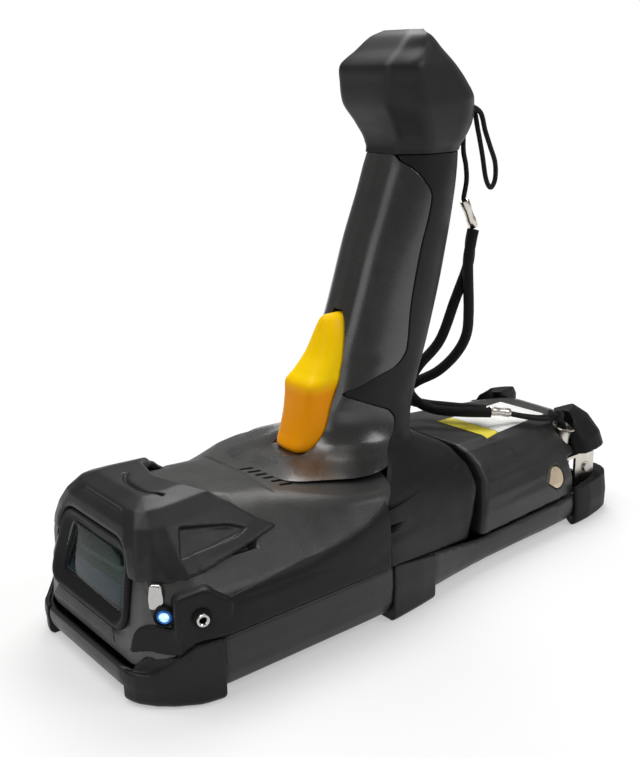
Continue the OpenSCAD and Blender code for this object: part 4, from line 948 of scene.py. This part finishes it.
insideSet = {
    # corners and edge of the boxes
    "bay": [((-23, -104.5, 24.5), (23, -84, 26.2), 0.3), ((-23, -86, 25), (23, -84, 51), 0.3)],
    "chips": [
        ((6.5, -101.2, 31.6), (10.5, -98.8, 33.8), 0.25), ((11.5, -100, 32.2), (15.2, -97.5, 34.6), 0.3),
        ((1.2, -99.5, 31.5), (4.4, -97.8, 33.6), 0.2), ((-4.5, -99.8, 31.5), (-1.8, -98.2, 32.8), 0.2),
    ],
    # path and radius
    "wires": [
        ([(13.6, -101.5, 34.2), (13.9, -101.2, 37.5), (13.4, -101, 41.2)], 0.35),
        ([(14.7, -101.3, 34.2), (14.9, -100.9, 37), (14.6, -100.8, 40.2)], 0.3),
    ],
    # outline, radius of its corners, half thickness, place, turn about X
    "engineBoard": ([(-21, -9), (21, -9), (21, 7.5), (-21, 3.5)], 0, 0.7, (0, -99.5, 29.5), 28),
    "engineGlow": ([(-19, -6), (19, -6), (17, 0.6), (-17, 0.6)], 1.5, 0.3, (0, -105.8, 29.0), 52),
}


def makeInside():
    # What shows through the window: engine block, its two tubes, the board on a slant and small parts
    n = insideSet
    place(joined("engineBay", *[block("engineBay", *row) for row in n["bay"]]), "module", slot="module")
    for name, finish, slot in (("engineBoard", "board", "board"), ("engineGlow", "teal", "module")):
        outline, r, half, at, turn = n[name]
        frame4 = Matrix.Translation(at) @ Matrix.Rotation(math.radians(turn), 4, "X")
        place(prism(name, softOutline(outline, r) if r else outline, -half, half, frame4), finish, slot=slot)
    parts = [block("chip", *row) for row in n["chips"]]
    parts += [tube("wire", smoothPath(path), radius, 10) for path, radius in n["wires"]]
    place(joined("engineParts", *parts), "copper", slot="contact")
    print("inside made")


hoodSet = {
    "voxel": 0.36, "fuller": 0.8,
    # recess in each wing: corners, way out, depths under the corners, height over them
    "pocket": [(26.1, -93.6, 50.4), (27.7, -77.2, 47.2), (29.6, -71.6, 44.9), (31.2, -77.5, 43.8), (31.9, -97.5, 42.8)],
    "way": (0.69, 0.0, 0.72), "depths": [[0.9], [0.8], [0.2], [0.1], [0.1]], "over": 4,
    "slit": [(-6, -92.8, 58.0), (-1, -95.6, 57.9), (4.3, -96.4, 57.9), (10.9, -95.8, 57.9), (16.3, -92.2, 57.3)],
    "slitRadius": 0.75,
}


def makeHood():
    h = hoodSet
    hood = moulded(cadCopy("nose_boot", "noseHood"), h["voxel"], 3)
    hood = applied(modify(hood, "DISPLACE", strength=h["fuller"] * mm, mid_level=0.0))
    # Recess in each wing, with a sloping floor, and a slit across the crown
    corners, way = np.array(h["pocket"]), np.array(h["way"])
    cutters = []
    for s in (1, -1):
        side = np.array([s, 1, 1])
        low, high = corners - way * np.array(h["depths"]), corners + way * h["over"]
        cutters.append(between("pocket", low * side, high * side))
    cutters.append(tube("slit", smoothPath(h["slit"]), h["slitRadius"], 10))
    hood = moulded(cut(hood, *cutters), h["voxel"], 9)
    place(hood, "boot", stands=["nose_boot"], slot="rubber")
    print("hood made")


indicatorAt, jackAt = np.array((35.2, -105.4, 29.2)), np.array((42.9, -97.35, 28.7))
cornerSet = {
    "guide": [(-2.1, -3.6), (2.2, -3.6), (2.6, 0), (1.9, 4.4), (-1.6, 4.6), (-2.3, 0)],
    "guideAt": ((33.3, -107.0, 34.4), 46), "guideEdge": 0.6,
    # name, finish, nodes it stands for, slot, spot, yaw, distance back from the spot, rows, points round
    "turned": [
        ("indicatorLens", "glow", ["indicator_lens"], "lens", indicatorAt, 46, 3.9,
         [(0, 0.01), (0, 1.5), (4.6, 1.5), (5.0, 1.2), (5.3, 0.7), (5.4, 0.01)], 36),
        ("indicatorRim", "blueRing", [], "lens", indicatorAt, 46, 3.9,
         [(0, 1.55), (0, 2.3), (4.2, 2.3), (4.7, 2.0), (4.8, 1.7), (4.6, 1.55), (0, 1.55)], 40),
        ("indicatorRing", "dark", [], "rubber", indicatorAt, 46, 0.8,
         [(0, 2.4), (0, 3.2), (1.5, 3.2), (1.9, 3.0), (1.9, 2.6), (1.6, 2.4), (0, 2.4)], 40),
        ("headsetJack", "chrome", ["headset_jack"], "nickel", jackAt, 72, 7,
         [(0, 1.05), (0, 2.1), (8.0, 2.1), (8.35, 1.9), (8.4, 1.35), (8.1, 1.05), (0, 1.05)], 48),
        ("jackWell", "dark", [], "rubber", jackAt, 72, 7,
         [(0, 0.01), (0, 3.0), (7.2, 3.0), (7.2, 1.0), (5.2, 0.95), (5.2, 0.01)], 48),
    ],
}


def makeCorner():
    c = cornerSet
    guide = prism("lightGuide", softOutline(c["guide"], 1.0), -2.5, 0.0, sideFrame(*c["guideAt"]))
    guide = applied(modify(guide, "BEVEL", width=c["guideEdge"] * mm, segments=4))
    place(guide, "chrome", stands=["light_guide"], slot="lens")
    for name, finish, stands, slot, spot, yaw, back, rows, around in c["turned"]:
        way = np.array((math.sin(math.radians(yaw)), -math.cos(math.radians(yaw)), 0))
        place(turned(name, spot - way * back, way, rows, around), finish, stands=stands, slot=slot)
    print("corner made")


def sideFrame(at, yaw):
    # z outwards from the side, x along it, y up
    c, s = math.cos(math.radians(yaw)), math.sin(math.radians(yaw))
    return Matrix(((c, 0, s, at[0]), (s, 0, -c, at[1]), (0, 1, 0, at[2]), (0, 0, 0, 1)))


jackSet = {
    # outline, radius of its corners, from and to over the side, place, yaw
    "block": ([(-7.6, -7.4), (9.2, -7.4), (10.4, 3.4), (4.9, 7.0), (2.8, 9.0), (-7.6, 7.2)], 2.0,
              -9.0, 0.6, (41.6, -97.3, 28.7), 72),
    "lobe": ([(-8.8, -5.6), (-2.5, -4.0), (3.0, -4.9), (8.8, -4.2), (7.8, 2.6), (3.6, 4.6), (-2.2, 4.7), (-6.6, 2.0)],
             2.4, -2.6, 1.5, (32.6, -106.9, 21.6), 38),
    "shield": ([(-8.5, -7.5), (9.5, -7.5), (11.0, 3.6), (5.0, 2.6), (0, 1.8), (-3.5, 2.2), (-8.0, -2.5)], 1.5,
               -4.5, 1.5, (32.9, -107.2, 13.6), 38),
    # spot, way out, distance back from the spot, rows of the seat
    "seats": [
        (jackAt, (0.951, -0.309, 0), 1.4, [(0, 0.01), (0, 2.95), (6, 3.25), (6, 0.01)]),
        (indicatorAt, (0.72, -0.695, 0), 1.0, [(0, 0.01), (0, 3.0), (8, 3.4), (8, 0.01)]),
    ],
}


def sidePrism(key):
    outline, r, z0, z1, at, yaw = jackSet[key]
    return prism(key, softOutline(outline, r), z0, z1, sideFrame(at, yaw))


def makeJackBlock():
    # Band of the near side, with the block round the jack and the lobe under the indicator
    body = moulded(sidePrism("block"), 0.5, 24)
    band = joined("sideBandRight", cadCopy("side_band_right", "sideBandRight"), body, sidePrism("lobe"))
    band = moulded(band, 0.42, 10)
    seats = [turned("seat", at - np.array(way) * back, way, rows, 40) for at, way, back, rows in jackSet["seats"]]
    place(cut(band, *seats), "grip", stands=["side_band_right"], slot="rubber")
    # The foot under it climbs round the corner
    foot = joined("frontFootRight", cadCopy("front_foot_right", "frontFootRight"), sidePrism("shield"))
    place(moulded(foot, 0.42, 8), "foot", stands=["front_foot_right"], slot="rubber")


shoulderSet = {
    "from": -88, "to": -24.4,
    # Y and height of the top edge
    "top": ([-87.6, -72.4, -52.2, -41.2, -33.4, -26.7, -21.6], [32.7, 33.7, 35.1, 37, 39.3, 42.5, 45.6]),
    # height of the low edge, roundness of the edges, distances over and under the head's chains
    "low": 25.0, "edge": 0.6, "over": 0.75, "under": 0.6,
}


def makeShoulders():
    # Rubber that climbs over the shoulder of the head, from the side band to the saddle: a thin skin offset from the
    # head's chains, from a curved top edge down to the band
    h = shoulderSet
    ys = np.linspace(h["from"], h["to"], 100)
    rows = []
    for z, chain in zip(np.interp(ys, *h["top"]), roofChain(ys)):
        a, b = np.interp([-z, -h["low"]], np.maximum.accumulate(-chain[:, 1]), runs(chain))
        q = denser(a, b, 36, h["edge"])
        p = along(chain, q)
        n = -outward(p)
        rows.append(np.concatenate([p + n * (h["over"] - sunk(q - a, h["edge"]))[:, None], (p - n * h["under"])[::-1]]))
    rows = np.array(rows)
    grid = np.stack([rows[..., 0], np.broadcast_to(ys[:, None], rows.shape[:2]), rows[..., 1]], axis=-1)
    place(gridMesh("shoulderRubberRight", grid), "grip", slot="rubber")
    place(gridMesh("shoulderRubberLeft", bothSides(grid)[:, ::-1]), "grip", slot="rubber")


softRows = (
    # finish, slot, voxel, body, nodes
    ("grip", "rubber", 0.4, "body", ["side_band_left"]),
    ("foot", "rubber", 0.4, "body", ["front_foot_left", "mid_foot_right", "mid_foot_left"]),
    ("rubber", "rubber", 0.4, "body", ["tail_bumper_right", "tail_bumper_left"]),
    ("rubber", "rubber", 0.4, "battery", ["ear_bumper_right", "ear_bumper_left"]),
    ("face", "shell_face", 0.8, "body", ["face_housing"]),
    ("pack", "pack", 0.6, "battery", ["battery_case"]),
)


def makeSofts():
    # Rubber corners, bands and bumpers, with their edges rounded
    makeJackBlock()
    makeShoulders()
    for finish, slot, voxel, body, names in softRows:
        for node in names:
            first, *rest = node.split("_")
            name = first + "".join(word.capitalize() for word in rest)
            place(moulded(cadCopy(node, name), voxel, 4), finish, body, [node], slot)
    print("rubber corners made")


# Cords: points along each, in millimetres
cordSet = {
    "butt": [
        [9, 43.9, 163], [9, 43.9, 157], [9, 44.2, 151], [9.2, 45.4, 146], [9.5, 45.6, 140.5], [9.5, 44.3, 134.2],
        [9.5, 44.9, 132.6],
    ],
    "spare": [
        [9, 43.6, 166.5], [9.4, 48.5, 165.5], [10, 50.4, 158.5], [10, 53, 150], [10, 55.5, 140.5], [10, 58.3, 137],
        [10, 60.6, 140], [10, 60.3, 146], [10.8, 56.5, 152], [11.6, 52.6, 158], [11.8, 49.6, 164.5],
        [11.8, 43.6, 167.5],
    ],
    "strandA": [
        [8, 51.2, 122], [8, 50.1, 117.5], [8, 49.2, 109], [6, 44.6, 95.5], [2, 41, 79.7], [-3, 35, 69.8],
        [-7.5, 34.5, 62.5], [-9.5, 36.5, 56.5], [-7, 40, 51.8], [-1, 43.5, 50], [6, 50, 49.4], [12.8, 59.2, 48.8],
    ],
    "strandB": [
        [11, 48.6, 122.4], [11.2, 47, 117.5], [11, 45.9, 109.8], [10, 48, 91.4], [7.5, 49.6, 81], [3, 48.5, 72.5],
        [-3, 45, 65.2], [-9.5, 40, 60.5], [-13.8, 38.5, 56], [-15, 41.5, 51.3], [-10.5, 46.5, 49.4], [-4, 50.5, 49.2],
        [3, 55.5, 49], [9.2, 60.5, 48.8],
    ],
    "tether": [
        [13.1, 69.8, 46.3], [17, 76, 44.6], [20, 83, 43.2], [20.6, 89.5, 42.6], [20.6, 92.6, 39.5], [20.6, 93, 34],
        [20.6, 93, 30], [22, 93, 28], [23.4, 93, 30], [23.4, 93, 34], [23.4, 91.8, 39.5], [23.2, 87.5, 42.6],
        [22, 81.5, 43.2], [19, 75, 44.6], [15, 69.2, 46.3],
    ],
    # diameters, points round each cord, step along it
    "wrist": 4.0, "thin": 1.8, "crimp": 3.6, "around": 18, "step": 0.45,
    "crimps": [[[9.5, 44.5, 133.6], [9.5, 50, 123.2]], [[11, 60.4, 48.8], [14, 69.2, 46.7]]],
}


def braided(obj, around, radius):
    # Braid coordinates: once round is one unit, and the length is in rounds, so the strands cross at right angles
    me = obj.data
    count = len(me.vertices)
    co = np.empty(count * 3)
    me.vertices.foreach_get("co", co)
    rings = co.reshape(-1, around, 3)
    middle = rings.mean(axis=1)
    run = np.concatenate([[0], np.cumsum(np.linalg.norm(np.diff(middle, axis=0), axis=1))]) / (2 * np.pi * radius * mm)
    vi = np.empty(len(me.loops), int)
    me.loops.foreach_get("vertex_index", vi)
    u = (vi % around) / around
    v = run[vi // around]
    start = np.empty(len(me.polygons), int)
    total = np.empty(len(me.polygons), int)
    me.polygons.foreach_get("loop_start", start)
    me.polygons.foreach_get("loop_total", total)
    quads = start[total == 4][:, None] + np.arange(4)
    wrap = (u[quads].max(axis=1) - u[quads].min(axis=1)) > 0.5
    rows = quads[wrap]
    u[rows] = np.where(u[rows] < 0.5, u[rows] + 1, u[rows])
    layer = me.uv_layers.new(name="braid")
    layer.data.foreach_set("uv", np.stack([u, v], axis=1).ravel())
    return obj


def makeCords():
    c = cordSet
    sleeves = []
    for a, b in np.array(c["crimps"]):
        length = float(np.linalg.norm(b - a))
        full, less, hole = [c["crimp"] / 2 * share for share in (1, 0.9, 0.55)]
        sleeves.append(turned("crimp", a, b - a, [
            (0, hole), (0, less), (0.3, full), (length * 0.3, full), (length * 0.36, less), (length * 0.64, less),
            (length * 0.7, full), (length - 0.3, full), (length, less), (length, hole)], 40))
    crimps = joined("cordCrimps", *sleeves)
    place(crimps, "nickel", stands=["cord_crimps"], slot="steel")
    for key, name, node, size, finish, far, lay in (
        ("strandA", "wristCordA", "wrist_cord_a", c["wrist"], "cord", "fitting", "hanging"),
        ("strandB", "wristCordB", "wrist_cord_b", c["wrist"], "cord", "bare", "hanging"),
        ("butt", "buttCord", "butt_cord", c["thin"], "thinCord", "bare", "hanging"),
        ("tether", "tetherCord", "tether_cord", c["thin"], "thinCord", "bare", "loose"),
        ("spare", "spareLoop", "spare_loop", c["thin"], "thinCord", "object", "hanging"),
    ):
        path = smoothPath(c[key], c["step"])
        obj = tube(name, path, size / 2, c["around"])
        braided(obj, c["around"], size / 2)
        place(obj, finish, stands=[node], slot="cord")
        length = float(runs(path)[-1]) * mm
        print(name, "is", round(length, 4), "m long")
    print("cords made")


labelSet = {
    # name, corners in X and Y, finish
    "parts": [
        ("labelBand", [(-4.1, 46.6), (-4.3, 54.6), (19.2, 56.4), (21.1, 48.3)], "label"),
        ("labelPlain", [(-4.3, 54.9), (-8.0, 89.1), (14.2, 90.5), (19.2, 56.8)], "labelWhite"),
    ],
    "lift": 0.10, "thick": 0.12,
    "rim": [(0, 3.9), (0, 4.3), (3.2, 4.35), (4.0, 4.9), (4.4, 4.75), (4.45, 4.3), (3.6, 3.9), (0, 3.9)],
    # place, size and cord radius of the tether's knot
    "knotAt": (22.3, 87.4, 43.4), "knot": 0.95, "knotCord": 1.0,
}


def makeLabels():
    # Sheets laid on the battery case: a grid between four corners, dropped onto the case and lifted a little
    n = labelSet
    case = bpy.data.objects["batteryCase"]
    for name, corners, finish in n["parts"]:
        c = np.array(corners, float)
        u, v = np.meshgrid(np.linspace(0, 1, 48), np.linspace(0, 1, 40), indexing="ij")
        u, v = u[..., None], v[..., None]
        xy = (c[0] * (1 - u) + c[3] * u) * (1 - v) + (c[1] * (1 - u) + c[2] * u) * v
        hit = lambda p: case.ray_cast(Vector((p[0] * mm, p[1] * mm, 0.08)), Vector((0, 0, -1)))[1].z / mm
        z = np.array([[hit(p) for p in row] for row in xy])
        top = withZ(xy, z + n["lift"] + n["thick"])
        low = withZ(xy, z + n["lift"] * 0.2)
        sheet = gridMesh(name, np.concatenate([top, low[:, ::-1]], axis=1), sharp=50)
        place(sheet, finish, "battery", slot="pack")
    for s, side in ((1, "Right"), (-1, "Left")):
        rim = turned("eyeRim" + side, (22 * s, 93, 33.5), (0.18 * s, 0.1, 1), n["rim"], 56)
        place(rim, "nickel", "battery", slot="nickel")
    # The knot is a curve with three lobes
    t = np.linspace(0, 2 * np.pi, 90)
    k = np.stack([np.sin(t) + 2 * np.sin(2 * t), np.cos(t) - 2 * np.cos(2 * t), -np.sin(3 * t) * 1.1], axis=1)
    knot = tube("tetherKnot", np.array(n["knotAt"]) + k * n["knot"], n["knotCord"], 14)
    place(braided(knot, 14, n["knotCord"]), "thinCord", slot="cord")
    print("labels and rims made")


def dressNodes():
    # Nodes that keep their CAD shape
    plain = {
        "bezel": ["keypad_frame"], "panel": ["touch_window", "display_module"],
        "board": ["main_board", "keypad_board", "scan_board"],
        "module": ["scan_engine", "trigger_switch", "battery_base"],
        "nickel": ["strap_bracket_right", "strap_bracket_left"],
        "steel": ["bracket_screws", "housing_screws", "trigger_pin", "trigger_spring"], "contact": ["battery_contacts"],
        "cell": ["battery_cells"], "button": ["release_button_right", "release_button_left"],
        "key": [n for n in nodes if n.startswith("key_r")],
        "shell": ["back_housing"],
    }
    for finish, names in plain.items():
        for n in names:
            nodes[n].data.materials.clear()
            nodes[n].data.materials.append(finishes[finish])


makeCords()
makeGrip()
makeTrigger()
makeButt()
makeHead()
makeNose()
makeInside()
makeHood()
makeCorner()
makeSofts()
makeLabels()
dressNodes()
